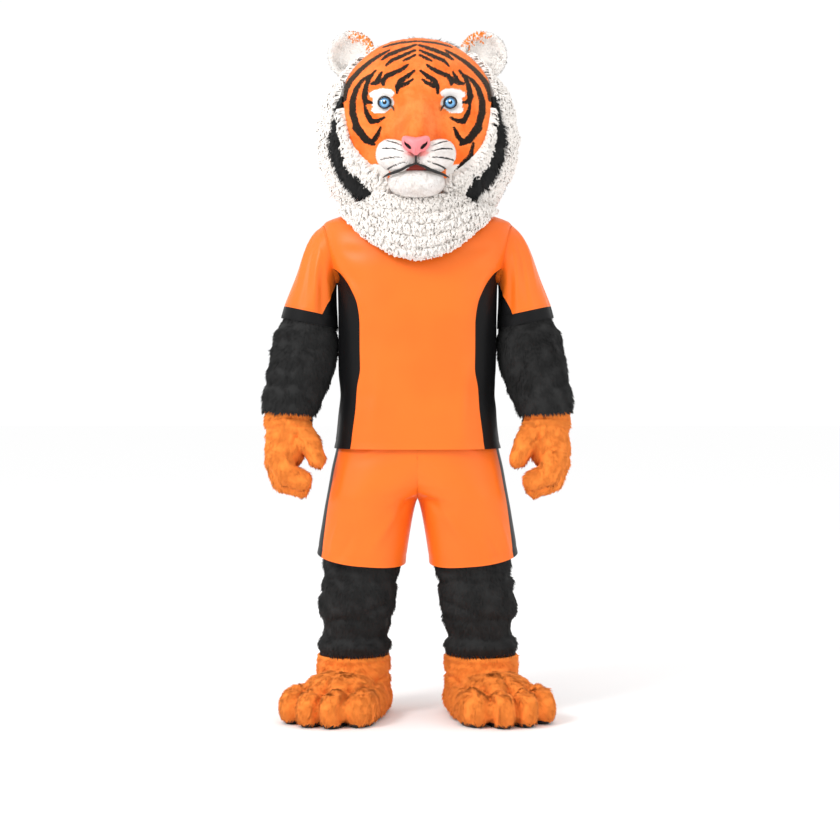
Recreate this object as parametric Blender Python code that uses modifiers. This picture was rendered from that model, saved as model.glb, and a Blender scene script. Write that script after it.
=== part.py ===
"""Tiger mascot costume, worn shape with no wearer: fur suit, jersey, shorts, gloves, paws and head.

Heights in the tables are above the floor. Every object is then lowered by SHOULDER_HEIGHT, so the
origin is between the wearer's shoulders. The front faces -Y and the tables give the +X side.
"""

import bpy
import bmesh
import numpy as np
from math import cos, pi, radians, sin
from mathutils import Matrix, Vector

# ---- driving sizes, metres ----
SHOULDER_HEIGHT = 1.40
SEAM_GAP = 0.0003
GLOVE_SEAM = 0.0016
JERSEY_CLOTH = 0.002
BAND_CLOTH = 0.0025
SUIT_CLOTH = 0.003
FUR_CLOTH = 0.006
HEAD_WALL = 0.010
HEAD_SPARE = 0.0016
RUFF_WALL = 0.014
BIB_WALL = 0.006
HEM_HEIGHT = 0.756
SHOULDER_EDGE = 1.388
SHOULDER_SLOPE = 0.082
PANEL_HALF_WIDTH = 0.10
PANEL_TOP_SHARE = 0.885
TIP_CLEAR = 0.0006
SLEEVE_RADIUS = 0.08
SLEEVE_LENGTH = 0.3
THIGH_RADIUS = 0.12
HIP_RADIUS = 0.13
CROTCH_HEIGHT = 0.612
HEM_FADE = 0.16
SOLE_HEIGHT = 0.012
ANKLE_TOP = 0.168
FOOT_TURN = radians(19)
FOOT_PLACE = (0.182, 0.010)
FACE_HEIGHT = 1.66
FACE_DEPTH = 0.205
BACK_DEPTH = 0.215
ARMHOLE_HEIGHT = 1.302
ARMHOLE_RISE = 0.086
ARMHOLE_REACH = 0.075
ARMHOLE_TIP = 1.262
COLLECTION_NAME = "tiger_mascot_costume"

# ---- colours: base colour, roughness ----
ORANGE_CLOTH = ((0.95, 0.23, 0.02), 0.55)
BLACK_CLOTH = ((0.012, 0.012, 0.013), 0.55)
ORANGE_FUR = ((0.95, 0.25, 0.03), 0.9)
BLACK_FUR = ((0.01, 0.01, 0.011), 0.85)
WHITE_FUR = ((0.86, 0.82, 0.78), 0.95)
PINK_RUBBER = ((0.85, 0.25, 0.27), 0.4)
MOUTH_CLOTH = ((0.20, 0.02, 0.01), 0.6)
EYE_GLOSS = ((0.12, 0.35, 0.65), 0.1)

# ---- sections: one row for each ring ----
TORSO = {
    "height": (0.756, 0.80, 0.866, 0.911, 0.965, 1.062, 1.127, 1.215, 1.266, 1.319, 1.36, 1.388, 1.42,
        1.447, 1.47),
    "half_width": (0.2355, 0.2295, 0.2235, 0.2175, 0.2205, 0.2222, 0.2240, 0.2262, 0.2460, 0.262, 0.2665, 0.2655,
        0.195, 0.150, 0.105),
    "front": (0.150, 0.147, 0.143, 0.140, 0.142, 0.148, 0.152, 0.150, 0.146, 0.136, 0.122, 0.105,
        0.092, 0.085, 0.080),
    "back": (0.150, 0.147, 0.142, 0.138, 0.136, 0.136, 0.138, 0.140, 0.140, 0.135, 0.122, 0.108, 0.100,
        0.095, 0.090),
    "square": (2.6, 2.6, 2.6, 2.6, 2.6, 2.6, 2.7, 2.9, 3.0, 3.0, 2.8, 2.6, 2.3, 2.2, 2.1),
}
SIDE_SEAM = {
    "height": (0.756, 0.803, 0.869, 0.926, 0.982, 1.039, 1.100, 1.160, 1.205, 1.245, 1.262),
    "x": (0.187, 0.1815, 0.173, 0.169, 0.160, 0.161, 0.161, 0.167, 0.184, 0.2135, 0.2380),
}
TROUSERS = {
    "height": (0.452, 0.49, 0.54, 0.59, 0.612, 0.65, 0.70, 0.756, 0.805),
    "side": (0.284, 0.279, 0.271, 0.263, 0.259, 0.252, 0.243, 0.2300, 0.2215),
    "inner": (0.034, 0.028, 0.019, 0.008, 0.0, -0.060, -0.150, -0.2300, -0.2215),
    "front": (0.124, 0.125, 0.127, 0.130, 0.134, 0.138, 0.140, 0.138, 0.132),
    "back": (0.124, 0.125, 0.128, 0.134, 0.140, 0.146, 0.148, 0.142, 0.132),
}
STRIPE_EDGES = {
    "height": (0.452, 0.60, 0.70, 0.805),
    "front_angle": (60.0, 66.0, 71.0, 76.0),
    "back_angle": (112.0, 108.0, 105.0, 101.0),
}
SUIT = {
    "height": (0.555, 0.59, 0.62, 0.64, 0.67, 0.73, 0.80, 0.92, 1.06, 1.20, 1.32, 1.388, 1.405),
    "side": (0.252, 0.250, 0.246, 0.242, 0.236, 0.223, 0.2105, 0.201, 0.201, 0.209, 0.240, 0.228, 0.195),
    "inner": (0.022, 0.016, 0.010, 0.0, -0.060, -0.170, -0.2105, -0.201, -0.201, -0.209, -0.240,
        -0.228, -0.195),
    "front": (0.108, 0.112, 0.118, 0.122, 0.124, 0.126, 0.122, 0.124, 0.132, 0.134, 0.116, 0.080, 0.070),
    "back": (0.108, 0.114, 0.122, 0.126, 0.130, 0.132, 0.122, 0.122, 0.120, 0.124, 0.116, 0.086, 0.080),
}
LEG = {
    "height": (0.180, 0.200, 0.224, 0.247, 0.284, 0.329, 0.414, 0.500, 0.5530),
    "side": (0.274, 0.281, 0.264, 0.263, 0.2795, 0.277, 0.2645, 0.257, 0.252),
    "inner": (0.086, 0.079, 0.092, 0.083, 0.068, 0.064, 0.051, 0.034, 0.022),
    "front": (0.094, 0.101, 0.088, 0.092, 0.105, 0.106, 0.106, 0.105, 0.108),
    "back": (0.094, 0.101, 0.088, 0.092, 0.105, 0.106, 0.108, 0.107, 0.108),
}
SLEEVE = {
    "outer_x": (0.2672, 0.294, 0.321, 0.346, 0.378, 0.3865),
    "outer_z": (1.3868, 1.360, 1.312, 1.240, 1.157, 1.1255),
    "inner_x": (0.2285, 0.2292, 0.2288, 0.2280, 0.2262, 0.2250),
    "inner_z": (1.217, 1.200, 1.178, 1.154, 1.124, 1.0925),
    "depth": (0.0755, 0.080, 0.083, 0.084, 0.083, 0.083),
    "lean": (0.0, 0.0, 0.0, -0.002, -0.004, -0.005),
}
ARM = {
    "outer_x": (0.240, 0.318, 0.370, 0.379, 0.402, 0.413, 0.4265, 0.434, 0.4365),
    "outer_z": (1.366, 1.285, 1.145, 1.114, 1.080, 1.020, 0.955, 0.905, 0.862),
    "inner_x": (0.234, 0.2345, 0.2340, 0.2330, 0.2270, 0.2330, 0.250, 0.268, 0.288),
    "inner_z": (1.242, 1.170, 1.105, 1.088, 1.060, 0.995, 0.942, 0.897, 0.852),
    "depth": (0.060, 0.068, 0.0745, 0.0775, 0.088, 0.091, 0.086, 0.082, 0.075),
    "lean": (0.0, -0.001, -0.004, -0.006, -0.008, -0.013, -0.020, -0.028, -0.036),
}
HEAD_OUTLINE = {
    "height": (1.42, 1.445, 1.488, 1.53, 1.57, 1.616, 1.68, 1.7435, 1.78, 1.82, 1.86, 1.89, 1.905, 1.912),
    "x": (0.186, 0.208, 0.237, 0.257, 0.270, 0.276, 0.268, 0.250, 0.226, 0.192, 0.150, 0.105, 0.062, 0.0),
}
HEAD_BORDERS = {
    "height": (1.437, 1.46, 1.50, 1.54, 1.572, 1.61, 1.66, 1.70, 1.74, 1.78, 1.82, 1.86, 1.89, 1.905,
        1.9118),
    "face": (0.060, 0.066, 0.078, 0.127, 0.160, 0.185, 0.197, 0.202, 0.204, 0.198, 0.178, 0.140, 0.095,
        0.053, 0.004),
    "strip": (0.118, 0.120, 0.146, 0.184, 0.196, 0.206, 0.2125, 0.2115, 0.2085, 0.199, 0.179, 0.141,
        0.096, 0.054, 0.005),
    "stripe": (0.136, 0.166, 0.202, 0.226, 0.237, 0.243, 0.233, 0.224, 0.214, 0.203, 0.180, 0.142,
        0.097, 0.055, 0.006),
}
BIB_EDGES = {
    "reach": (0.112, 0.150, 0.176, 0.194, 0.206, 0.213),
    "end_height": (1.443, 1.438, 1.434, 1.431, 1.428, 1.424),
    "drop": (0.012, 0.032, 0.058, 0.088, 0.117, 0.139),
    "side_y": (-0.100, -0.080, -0.060, -0.043, -0.027, -0.012),
    "depth": (0.100, 0.118, 0.138, 0.154, 0.165, 0.168),
}
THUMB = ((0.330, -0.062, 0.812, 0.034), (0.300, -0.082, 0.768, 0.031), (0.2815, -0.086, 0.729, 0.0255))
INDEX = ((0.385, -0.085, 0.726, 0.036), (0.366, -0.098, 0.686, 0.032), (0.321, -0.095, 0.668, 0.027))
MIDDLE = ((0.396, -0.050, 0.718, 0.034), (0.378, -0.052, 0.664, 0.031), (0.330, -0.055, 0.645, 0.0265))
LITTLE = ((0.398, -0.010, 0.722, 0.031), (0.384, -0.012, 0.672, 0.029), (0.340, -0.018, 0.645, 0.0255))
PALM = ((0.366, -0.038, 0.830, 0.056), (0.366, -0.040, 0.790, 0.061), (0.374, -0.045, 0.752, 0.057))
WRIST = ((0.362, -0.034, 0.865, 0.058), (0.364, -0.036, 0.832, 0.068))
TOES = ((-0.096, 0.185, 0.041), (-0.033, 0.225, 0.044), (0.033, 0.225, 0.044), (0.096, 0.190, 0.041))


def smooth(table, column, at, key="height"):
    """A column of a table as a smooth curve through its rows, with no overshoot."""
    x = np.asarray(table[key], float)
    y = np.asarray(table[column], float)
    step = np.diff(x)
    slope = np.diff(y) / step
    joined = np.where(slope[:-1] * slope[1:] > 0,
        2 * slope[:-1] * slope[1:] / (slope[:-1] + slope[1:] + 1e-12), 0)
    tangent = np.concatenate([slope[:1], joined, slope[-1:]])
    at = np.clip(at, x[0], x[-1])
    i = np.clip(np.searchsorted(x, at, side="right") - 1, 0, len(step) - 1)
    t = (at - x[i]) / step[i]
    near = (1 + 2 * t) * (1 - t) ** 2 * y[i] + t * (1 - t) ** 2 * step[i] * tangent[i]
    far = t * t * (3 - 2 * t) * y[i + 1] + t * t * (t - 1) * step[i] * tangent[i + 1]
    return near + far


def by_row(table, column, at):
    """A column read by row number, scaled to 0..1 from the first row to the last."""
    rows = len(table[column])
    numbered = {"row": np.linspace(0, 1, rows), column: table[column]}
    return smooth(numbered, column, at, key="row")


def power(value, square):
    """A signed power, which turns a circle's sine or cosine into a squarer ring's."""
    return np.sign(value) * np.abs(value) ** (2 / square)


# ---- building closed walls ----
def collection(name):
    made = bpy.data.collections.new(name)
    bpy.context.scene.collection.children.link(made)
    return made


def material(name, look):
    colour, roughness = look
    made = bpy.data.materials.new(name)
    made.use_nodes = True
    shader = made.node_tree.nodes["Principled BSDF"]
    shader.inputs["Base Color"].default_value = (*colour, 1)
    shader.inputs["Roughness"].default_value = roughness
    shader.inputs["Metallic"].default_value = 0.0
    return made


def add_object(name, mesh, look, target):
    """Adds a mesh as one sub-part with its own material, lowered to the shoulder origin."""
    mesh.shade_smooth()
    mesh.set_sharp_from_angle(angle=radians(40))
    made = bpy.data.objects.new(name, mesh)
    mesh.materials.clear()
    mesh.materials.append(material(name, look))
    made.location.z = -SHOULDER_HEIGHT
    target.objects.link(made)
    return made


def surface_normals(surface, u, v, nudge=1e-4):
    """Unit normals of a surface from its differences along both parameters."""
    along_u = surface(u + nudge, v) - surface(u - nudge, v)
    along_v = surface(u, v + nudge) - surface(u, v - nudge)
    normal = np.cross(along_u, along_v)
    return normal / np.maximum(np.linalg.norm(normal, axis=-1, keepdims=True), 1e-12)


def wall_mesh(name, outer, inner, ring):
    """A closed wall between an outer and an inner grid; ring joins its first and last columns."""
    rows, columns = outer.shape[:2]
    index = np.arange(rows * columns).reshape(rows, columns)
    if ring:
        index = np.concatenate([index, index[:, :1]], axis=1)
    skin = np.stack([index[:-1, :-1], index[:-1, 1:], index[1:, 1:], index[1:, :-1]], -1).reshape(-1, 4)
    shift = rows * columns
    edges = [(index[0, 1:], index[0, :-1]), (index[-1, :-1], index[-1, 1:])]
    if not ring:
        edges += [(index[:-1, 0], index[1:, 0]), (index[1:, -1], index[:-1, -1])]
    rims = [np.stack([a, b, b + shift, a + shift], -1) for a, b in edges]
    lining = skin[:, [0, 3, 2, 1]] + shift
    faces = np.concatenate([skin, lining, *rims])
    mesh = bpy.data.meshes.new(name)
    points = np.concatenate([outer.reshape(-1, 3), inner.reshape(-1, 3)])
    mesh.from_pydata(points.tolist(), [], faces.tolist())
    work = bmesh.new()
    work.from_mesh(mesh)
    if work.calc_volume(signed=True) < 0:
        bmesh.ops.reverse_faces(work, faces=work.faces)
    work.to_mesh(mesh)
    work.free()
    return mesh


def wall_on(name, surface, u, v, thickness, ring=False, keep=None):
    """A wall on a surface of two parameters, its thickness turned inwards."""
    grid_v, grid_u = np.meshgrid(np.asarray(v, float), np.asarray(u, float), indexing="ij")
    outer = surface(grid_u, grid_v)
    normal = surface_normals(surface, grid_u, grid_v)
    middle = outer.reshape(-1, 3).mean(axis=0)
    if ((outer - middle) * normal).sum() < 0:
        normal = -normal
    inner = outer - thickness * normal
    if keep:
        inner = keep(inner)
    return wall_mesh(name, outer, inner, ring)


def shell(name, surface, u, v, thickness, look, target, ring=False):
    """A single wall as one sub-part."""
    return add_object(name, wall_on(name, surface, u, v, thickness, ring), look, target)


def shell_pair(name, surface, u, v, thickness, look, target, ring=False, keep=None):
    """The +X piece and its mirror image on the -X side."""
    mesh = wall_on(name + "_left", surface, u, v, thickness, ring, keep)
    twin = mirrored_mesh(mesh, name + "_right")
    add_object(name + "_left", mesh, look, target)
    add_object(name + "_right", twin, look, target)


def mirrored_mesh(mesh, name):
    copy = mesh.copy()
    copy.name = name
    copy.transform(Matrix.Diagonal((-1, 1, 1, 1)))
    copy.flip_normals()
    return copy


def beside_centre(points):
    """Keeps a half piece's inner wall on its own side of the centre seam."""
    points[..., 0] = np.maximum(points[..., 0], SEAM_GAP / 2)
    return points


def in_front(points):
    """Keeps a front head piece's inner wall ahead of the outline seam."""
    points[..., 1] = np.minimum(points[..., 1], -SEAM_GAP)
    return beside_centre(points)


def behind(points):
    """Keeps a back head piece's inner wall behind the outline seam."""
    points[..., 1] = np.maximum(points[..., 1], SEAM_GAP)
    return beside_centre(points)


# ---- jersey ----
def torso(angle, height):
    """A squared ring at each height; angle 0 is the front, a quarter turn is the +X side."""
    square = smooth(TORSO, "square", height)
    half_width = smooth(TORSO, "half_width", height)
    facing = np.cos(angle)
    deep = np.where(facing > 0, smooth(TORSO, "front", height), smooth(TORSO, "back", height))
    x = half_width * power(np.sin(angle), square)
    y = -deep * power(facing, square)
    return np.stack([x, y, height + 0 * x], -1)


def armhole_reach(height):
    """Half the armhole's front-to-back size at a height, nothing above or below it."""
    rise = np.clip((height - ARMHOLE_HEIGHT) / ARMHOLE_RISE, -1, 1)
    return ARMHOLE_REACH * np.sqrt(1 - rise * rise)


def edge_angle(height, side):
    """The angle where the body panel ends: at the side seam, then the armhole, then the shoulder."""
    square = smooth(TORSO, "square", height)
    half_width = smooth(TORSO, "half_width", height)
    seam = np.arcsin(np.clip(smooth(SIDE_SEAM, "x", height) / half_width, 0, 1) ** (square / 2))
    deep = smooth(TORSO, "front" if side == "front" else "back", height)
    hole = np.arccos(np.clip(armhole_reach(height) / deep, 0, 1) ** (square / 2))
    return np.where(height < ARMHOLE_TIP, seam, hole)


def neck_dip(angle, height, dip):
    """How far the neckline sinks at the centre, fading out down to the shoulder seam."""
    rise = np.clip((height - SHOULDER_EDGE) / SHOULDER_SLOPE, 0, 1)
    return dip * np.cos(angle) ** 2 * rise


def body_panel(side, dip):
    def surface(across, height):
        gap = SEAM_GAP / PANEL_HALF_WIDTH
        angle = across * (edge_angle(height, side) - gap)
        points = torso(angle if side == "front" else pi - angle, height)
        points[..., 2] -= neck_dip(angle, height, dip)
        return points

    return surface


def side_panel(across, rise):
    """From the hem up to the underarm curve, between the front and the back seam."""
    forward = ARMHOLE_REACH * PANEL_TOP_SHARE * (1 - 2 * across)
    top = ARMHOLE_HEIGHT - ARMHOLE_RISE * np.sqrt(1 - (forward / ARMHOLE_REACH) ** 2)
    height = HEM_HEIGHT + rise * (top - SEAM_GAP - HEM_HEIGHT)
    gap = SEAM_GAP / PANEL_HALF_WIDTH
    low = edge_angle(np.minimum(height, ARMHOLE_TIP - 1e-6), "front") + gap
    return torso(low + across * (pi - 2 * low), height)


def tube(table):
    """A ring at each step along a limb, between its outer and inner lines."""

    def surface(angle, along):
        outer_x = by_row(table, "outer_x", along)
        outer_z = by_row(table, "outer_z", along)
        inner_x = by_row(table, "inner_x", along)
        inner_z = by_row(table, "inner_z", along)
        swing = np.cos(angle)
        x = (outer_x + inner_x) / 2 + swing * (outer_x - inner_x) / 2
        z = (outer_z + inner_z) / 2 + swing * (outer_z - inner_z) / 2
        y = by_row(table, "lean", along) - by_row(table, "depth", along) * np.sin(angle)
        return np.stack([x, y, z], -1)

    return surface


def sleeve_part(low, high, start, end):
    """The part of the sleeve between two angles, which change evenly from its top to its band."""
    surface = tube(SLEEVE)
    gap = SEAM_GAP / 2 / SLEEVE_RADIUS

    def part(across, along):
        fade = np.clip((along - start) / (end - start), 0, 1)
        first = low[0] + (low[1] - low[0]) * fade + gap
        last = high[0] + (high[1] - high[0]) * fade - gap
        return surface(first + across * (last - first), along)

    return part


def build_jersey(target):
    ladder = np.linspace(0, 1, 9)
    below = HEM_HEIGHT + ladder * (ARMHOLE_TIP - TIP_CLEAR - HEM_HEIGHT)
    rows = np.concatenate([below, (1.300, 1.345, 1.375, 1.390, 1.425, 1.47)])
    across = np.sin(np.linspace(-pi / 2, pi / 2, 11))
    shell("jersey_front", body_panel("front", 0.045), across, rows, JERSEY_CLOTH, ORANGE_CLOTH, target)
    shell("jersey_back", body_panel("back", 0.018), np.sin(np.linspace(-pi / 2, pi / 2, 12)), rows,
        JERSEY_CLOTH, ORANGE_CLOTH, target)
    shell_pair("jersey_side", side_panel, np.linspace(0, 1, 7), ladder, JERSEY_CLOTH, BLACK_CLOTH, target)
    end = 0.8
    steps = np.linspace(0, end - SEAM_GAP / SLEEVE_LENGTH, 6)
    main = sleeve_part((radians(-162), radians(-119)), (radians(162), radians(119)), 0, end)
    under = sleeve_part((radians(162), radians(119)), (radians(198), radians(241)), 0, end)
    shell_pair("sleeve", main, np.linspace(0, 1, 13), steps, JERSEY_CLOTH, ORANGE_CLOTH, target)
    shell_pair("underarm_gusset", under, np.linspace(0, 1, 5), steps, JERSEY_CLOTH, BLACK_CLOTH, target)
    turn = np.linspace(0, 2 * pi, 18, endpoint=False)
    shell_pair("sleeve_band", tube(SLEEVE), turn, (end + SEAM_GAP / SLEEVE_LENGTH, 1), BAND_CLOTH,
        BLACK_CLOTH, target, ring=True)


# ---- shorts and suit legs ----
def leg_ring(table, angle, height, spare=SEAM_GAP / 2):
    """Half a hip ring above the crotch and a whole leg ring below it; angle 0 is the front."""
    side = smooth(table, "side", height)
    inner = smooth(table, "inner", height)
    middle = (side + inner) / 2
    half = (side - inner) / 2
    facing = np.cos(angle)
    deep = np.where(facing > 0, smooth(table, "front", height), smooth(table, "back", height))
    x = middle + half * power(np.sin(angle), 2.3)
    y = -deep * power(facing, 2.3)
    return np.stack([np.maximum(x, spare), y, height + 0 * x], -1)


def inner_angle(table, height):
    """Where the ring meets the centre seam, or the inseam below the crotch."""
    side = smooth(table, "side", height)
    inner = smooth(table, "inner", height)
    reach = np.clip((SEAM_GAP / 2 - (side + inner) / 2) / ((side - inner) / 2), -1, 1)
    gap = SEAM_GAP / 2 / THIGH_RADIUS
    return np.arcsin(-np.abs(reach) ** 1.15) + gap


def hem_tilt(angle, height):
    """The shorts' hem runs higher at the side and lower at the front."""
    fade = np.clip((CROTCH_HEIGHT - height) / HEM_FADE, 0, 1)
    return fade * (0.014 * np.sin(angle) - 0.017 * np.maximum(np.cos(angle), 0) - 0.006)


def shorts_part(side):
    def surface(across, height):
        gap = SEAM_GAP / 2 / HIP_RADIUS
        low = inner_angle(TROUSERS, height)
        front_edge = np.radians(smooth(STRIPE_EDGES, "front_angle", height))
        back_edge = np.radians(smooth(STRIPE_EDGES, "back_angle", height))
        if side == "front":
            angle = low + across * (front_edge - gap - low)
        elif side == "back":
            angle = back_edge + gap + across * (pi - low - back_edge - gap)
        else:
            angle = front_edge + gap + across * (back_edge - front_edge - 2 * gap)
        points = leg_ring(TROUSERS, angle, height)
        points[..., 2] += hem_tilt(angle, height)
        return points

    return surface


def build_shorts(target):
    rows = np.array([0.452, 0.50, 0.55, 0.59, 0.602, 0.612, 0.618, 0.626, 0.635, 0.65, 0.665, 0.70,
        0.756, 0.805])
    shell_pair("shorts_front", shorts_part("front"), np.linspace(0, 1, 7), rows, JERSEY_CLOTH,
        ORANGE_CLOTH, target)
    shell_pair("shorts_back", shorts_part("back"), np.linspace(0, 1, 7), rows, JERSEY_CLOTH,
        ORANGE_CLOTH, target)
    shell_pair("shorts_stripe", shorts_part("stripe"), np.linspace(0, 1, 3), rows, JERSEY_CLOTH,
        BLACK_CLOTH, target)

    def band(angle, height):
        ring = torso(angle, height)
        return ring * np.array([0.2205 / 0.2295, 0.132 / 0.147, 1.0])

    turn = np.linspace(0, 2 * pi, 20, endpoint=False)
    shell("shorts_waistband", band, turn, (0.8053, 0.835), BAND_CLOTH, ORANGE_CLOTH, target, ring=True)


# ---- fur suit ----
def suit_half(across, height):
    low = inner_angle(SUIT, height)
    return leg_ring(SUIT, low + across * (pi - 2 * low), height)


def leg_tube(angle, height):
    points = leg_ring(LEG, angle, height)
    points[..., 2] += np.clip((0.247 - height) / 0.09, 0, 1) * -0.006 * np.cos(angle)
    return points


def cutter(name, mesh, target):
    made = bpy.data.objects.new(name, mesh)
    made.location.z = -SHOULDER_HEIGHT
    made.hide_render = True
    made.display_type = "WIRE"
    target.objects.link(made)
    return made


def cut(piece, tool):
    change = piece.modifiers.new("cut by " + tool.name, "BOOLEAN")
    change.operation = "DIFFERENCE"
    change.solver = "EXACT"
    change.object = tool


def build_suit(target, tools):
    rows = np.array([0.555, 0.60, 0.64, 0.66, 0.69, 0.74, 0.80, 0.93, 1.06, 1.20, 1.32, 1.388, 1.405])
    shell_pair("suit_body", suit_half, np.linspace(0, 1, 9), rows, SUIT_CLOTH, BLACK_FUR, target,
        keep=beside_centre)
    for side, sign in (("left", 1), ("right", -1)):
        work = bmesh.new()
        place = Matrix.Translation((sign * 0.25, 0, ARMHOLE_HEIGHT)) @ Matrix.Diagonal((0.12, 0.070,
            0.074, 1))
        bmesh.ops.create_cone(work, cap_ends=True, segments=14, radius1=1, radius2=1, depth=1,
                              matrix=place @ Matrix.Rotation(pi / 2, 4, "Y"))
        bmesh.ops.recalc_face_normals(work, faces=work.faces)
        mesh = bpy.data.meshes.new("suit_armhole_" + side)
        work.to_mesh(mesh)
        work.free()
        cut(bpy.data.objects["suit_body_" + side], cutter(mesh.name, mesh, tools))
    turn = np.linspace(0, 2 * pi, 14, endpoint=False)
    heights = (0.180, 0.224, 0.247, 0.284, 0.414, 0.5530)
    shell_pair("suit_leg", leg_tube, turn, heights, FUR_CLOTH, BLACK_FUR, target, ring=True)
    shell_pair("suit_arm", tube(ARM), turn, np.linspace(0, 1, 9), FUR_CLOTH, BLACK_FUR, target, ring=True)


# ---- gloves and paws: rounded forms joined, then opened ----
def add_ball(work, centre, radii):
    place = Matrix.Translation(centre) @ Matrix.Diagonal((*radii, 1))
    bmesh.ops.create_icosphere(work, subdivisions=3, radius=1, matrix=place)


def add_chain(work, balls, steps=5):
    """Balls along a bent line of (x, y, z, radius) rows, close enough to read as one finger."""
    rows = np.array(balls, float)
    at = np.linspace(0, 1, (len(rows) - 1) * steps + 1)
    line = np.stack([np.interp(at, np.linspace(0, 1, len(rows)), rows[:, i]) for i in range(4)], -1)
    for x, y, z, radius in line:
        add_ball(work, (x, y, z), (radius, radius, radius))


def melted(name, work, voxel, faces, rounds):
    """One skin over all the forms in a bmesh: remeshed, smoothed and thinned to some faces."""
    mesh = bpy.data.meshes.new(name)
    work.to_mesh(mesh)
    work.free()
    made = bpy.data.objects.new(name, mesh)
    bpy.context.scene.collection.objects.link(made)
    remesh = made.modifiers.new("one skin", "REMESH")
    remesh.mode = "VOXEL"
    remesh.voxel_size = voxel
    soften = made.modifiers.new("soften", "SMOOTH")
    soften.factor = 0.5
    soften.iterations = rounds
    thin = made.modifiers.new("thin", "DECIMATE")
    bpy.context.view_layer.update()
    graph = bpy.context.evaluated_depsgraph_get()
    thin.ratio = 1.0
    count = len(made.evaluated_get(graph).data.loop_triangles) or 1
    thin.ratio = min(1.0, faces / max(count, faces))
    bpy.context.view_layer.update()
    graph = bpy.context.evaluated_depsgraph_get()
    skin = bpy.data.meshes.new_from_object(made.evaluated_get(graph))
    bpy.data.objects.remove(made)
    return skin


def cleared(mesh, name, planes, fill=False):
    """A copy of a skin with what lies beyond each (point, direction) plane taken away."""
    work = bmesh.new()
    work.from_mesh(mesh)
    for point, direction in planes:
        everything = work.verts[:] + work.edges[:] + work.faces[:]
        bmesh.ops.bisect_plane(work, geom=everything, plane_co=point, plane_no=direction,
            clear_outer=True, dist=1e-5)
        if fill:
            bmesh.ops.holes_fill(work, edges=[edge for edge in work.edges if edge.is_boundary], sides=0)
    bmesh.ops.remove_doubles(work, verts=work.verts, dist=4e-4)
    copy = bpy.data.meshes.new(name)
    work.to_mesh(copy)
    work.free()
    return copy


def open_pair(name, mesh, thickness, look, target):
    """A thin open skin as a wall on both sides of the body."""
    for side, skin in (("left", mesh), ("right", mirrored_mesh(mesh, name + "_mirror"))):
        made = add_object(f"{name}_{side}", skin, look, target)
        if thickness:
            wall = made.modifiers.new("cloth", "SOLIDIFY")
            wall.thickness = thickness
            wall.offset = -1


def build_gloves(target):
    work = bmesh.new()
    for balls in (WRIST, PALM, THUMB, INDEX, MIDDLE, LITTLE):
        add_chain(work, balls)
    skin = melted("glove form", work, 0.006, 210, 3)
    wrist = ((0.362, -0.034, 0.872), (0.0, -0.18, 0.98))
    seam = Vector((0.362, -0.026, 0.75))
    palm_way = Vector((-0.35, 0.94, 0.0)).normalized()
    step = palm_way * GLOVE_SEAM / 2
    back = cleared(skin, "glove_back", (wrist, (seam - step, palm_way)))
    palm = cleared(skin, "glove_palm", (wrist, (seam + step, -palm_way)))
    open_pair("glove_back", back, 0.004, ORANGE_FUR, target)
    open_pair("glove_palm", palm, 0.003, BLACK_FUR, target)


def foot_point(side, forward, up):
    """A place in the turned foot's own directions, on the +X side."""
    x = FOOT_PLACE[0] + side * cos(FOOT_TURN) + forward * sin(FOOT_TURN)
    y = FOOT_PLACE[1] + side * sin(FOOT_TURN) - forward * cos(FOOT_TURN)
    return (x, y, up)


def foot_ball(work, side, forward, up, radii):
    turn = Matrix.Rotation(FOOT_TURN, 4, "Z")
    place = Matrix.Translation(foot_point(side, forward, up)) @ turn @ Matrix.Diagonal((*radii, 1))
    bmesh.ops.create_icosphere(work, subdivisions=3, radius=1, matrix=place)


def build_paws(target):
    work = bmesh.new()
    for up in np.linspace(0.06, 0.16, 5):
        foot_ball(work, 0.0, 0.0, up, (0.104, 0.106, 0.04))
    foot_ball(work, 0.0, -0.01, 0.045, (0.106, 0.105, 0.080))
    foot_ball(work, 0.0, 0.10, 0.045, (0.128, 0.150, 0.088))
    foot_ball(work, 0.0, 0.12, 0.060, (0.112, 0.125, 0.074))
    for side, forward, half in TOES:
        foot_ball(work, side, forward, 0.045, (half, 0.078, 0.060))
    skin = melted("paw form", work, 0.007, 230, 2)
    floor = ((0, 0, 0.0), (0, 0, -1))
    sole_top = ((0, 0, SOLE_HEIGHT), (0, 0, 1))
    upper_low = ((0, 0, SOLE_HEIGHT + SEAM_GAP), (0, 0, -1))
    ankle = ((0, 0, ANKLE_TOP), (0, 0, 1))
    upper = cleared(skin, "paw_upper", (upper_low, ankle))
    sole = cleared(skin, "paw_sole", (floor, sole_top), fill=True)
    open_pair("paw_upper", upper, 0.008, ORANGE_FUR, target)
    open_pair("paw_sole", sole, 0, BLACK_CLOTH, target)


# ---- head ----
def head_radius(x, z):
    """Distance from the face's middle over the distance of the head's outline that way."""
    up = np.linspace(HEAD_OUTLINE["height"][0], HEAD_OUTLINE["height"][-1], 160)
    across = smooth(HEAD_OUTLINE, "x", up)
    angles = np.arctan2(up - FACE_HEIGHT, across)
    reach = np.hypot(up - FACE_HEIGHT, across)
    return np.hypot(x, z - FACE_HEIGHT) / np.interp(np.arctan2(z - FACE_HEIGHT, np.abs(x)), angles, reach)


def head_depth(x, z, depth):
    ratio = np.clip(head_radius(x, z), 0, 0.9995)
    return depth * (1 - ratio ** 2.4) ** 0.53


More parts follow.
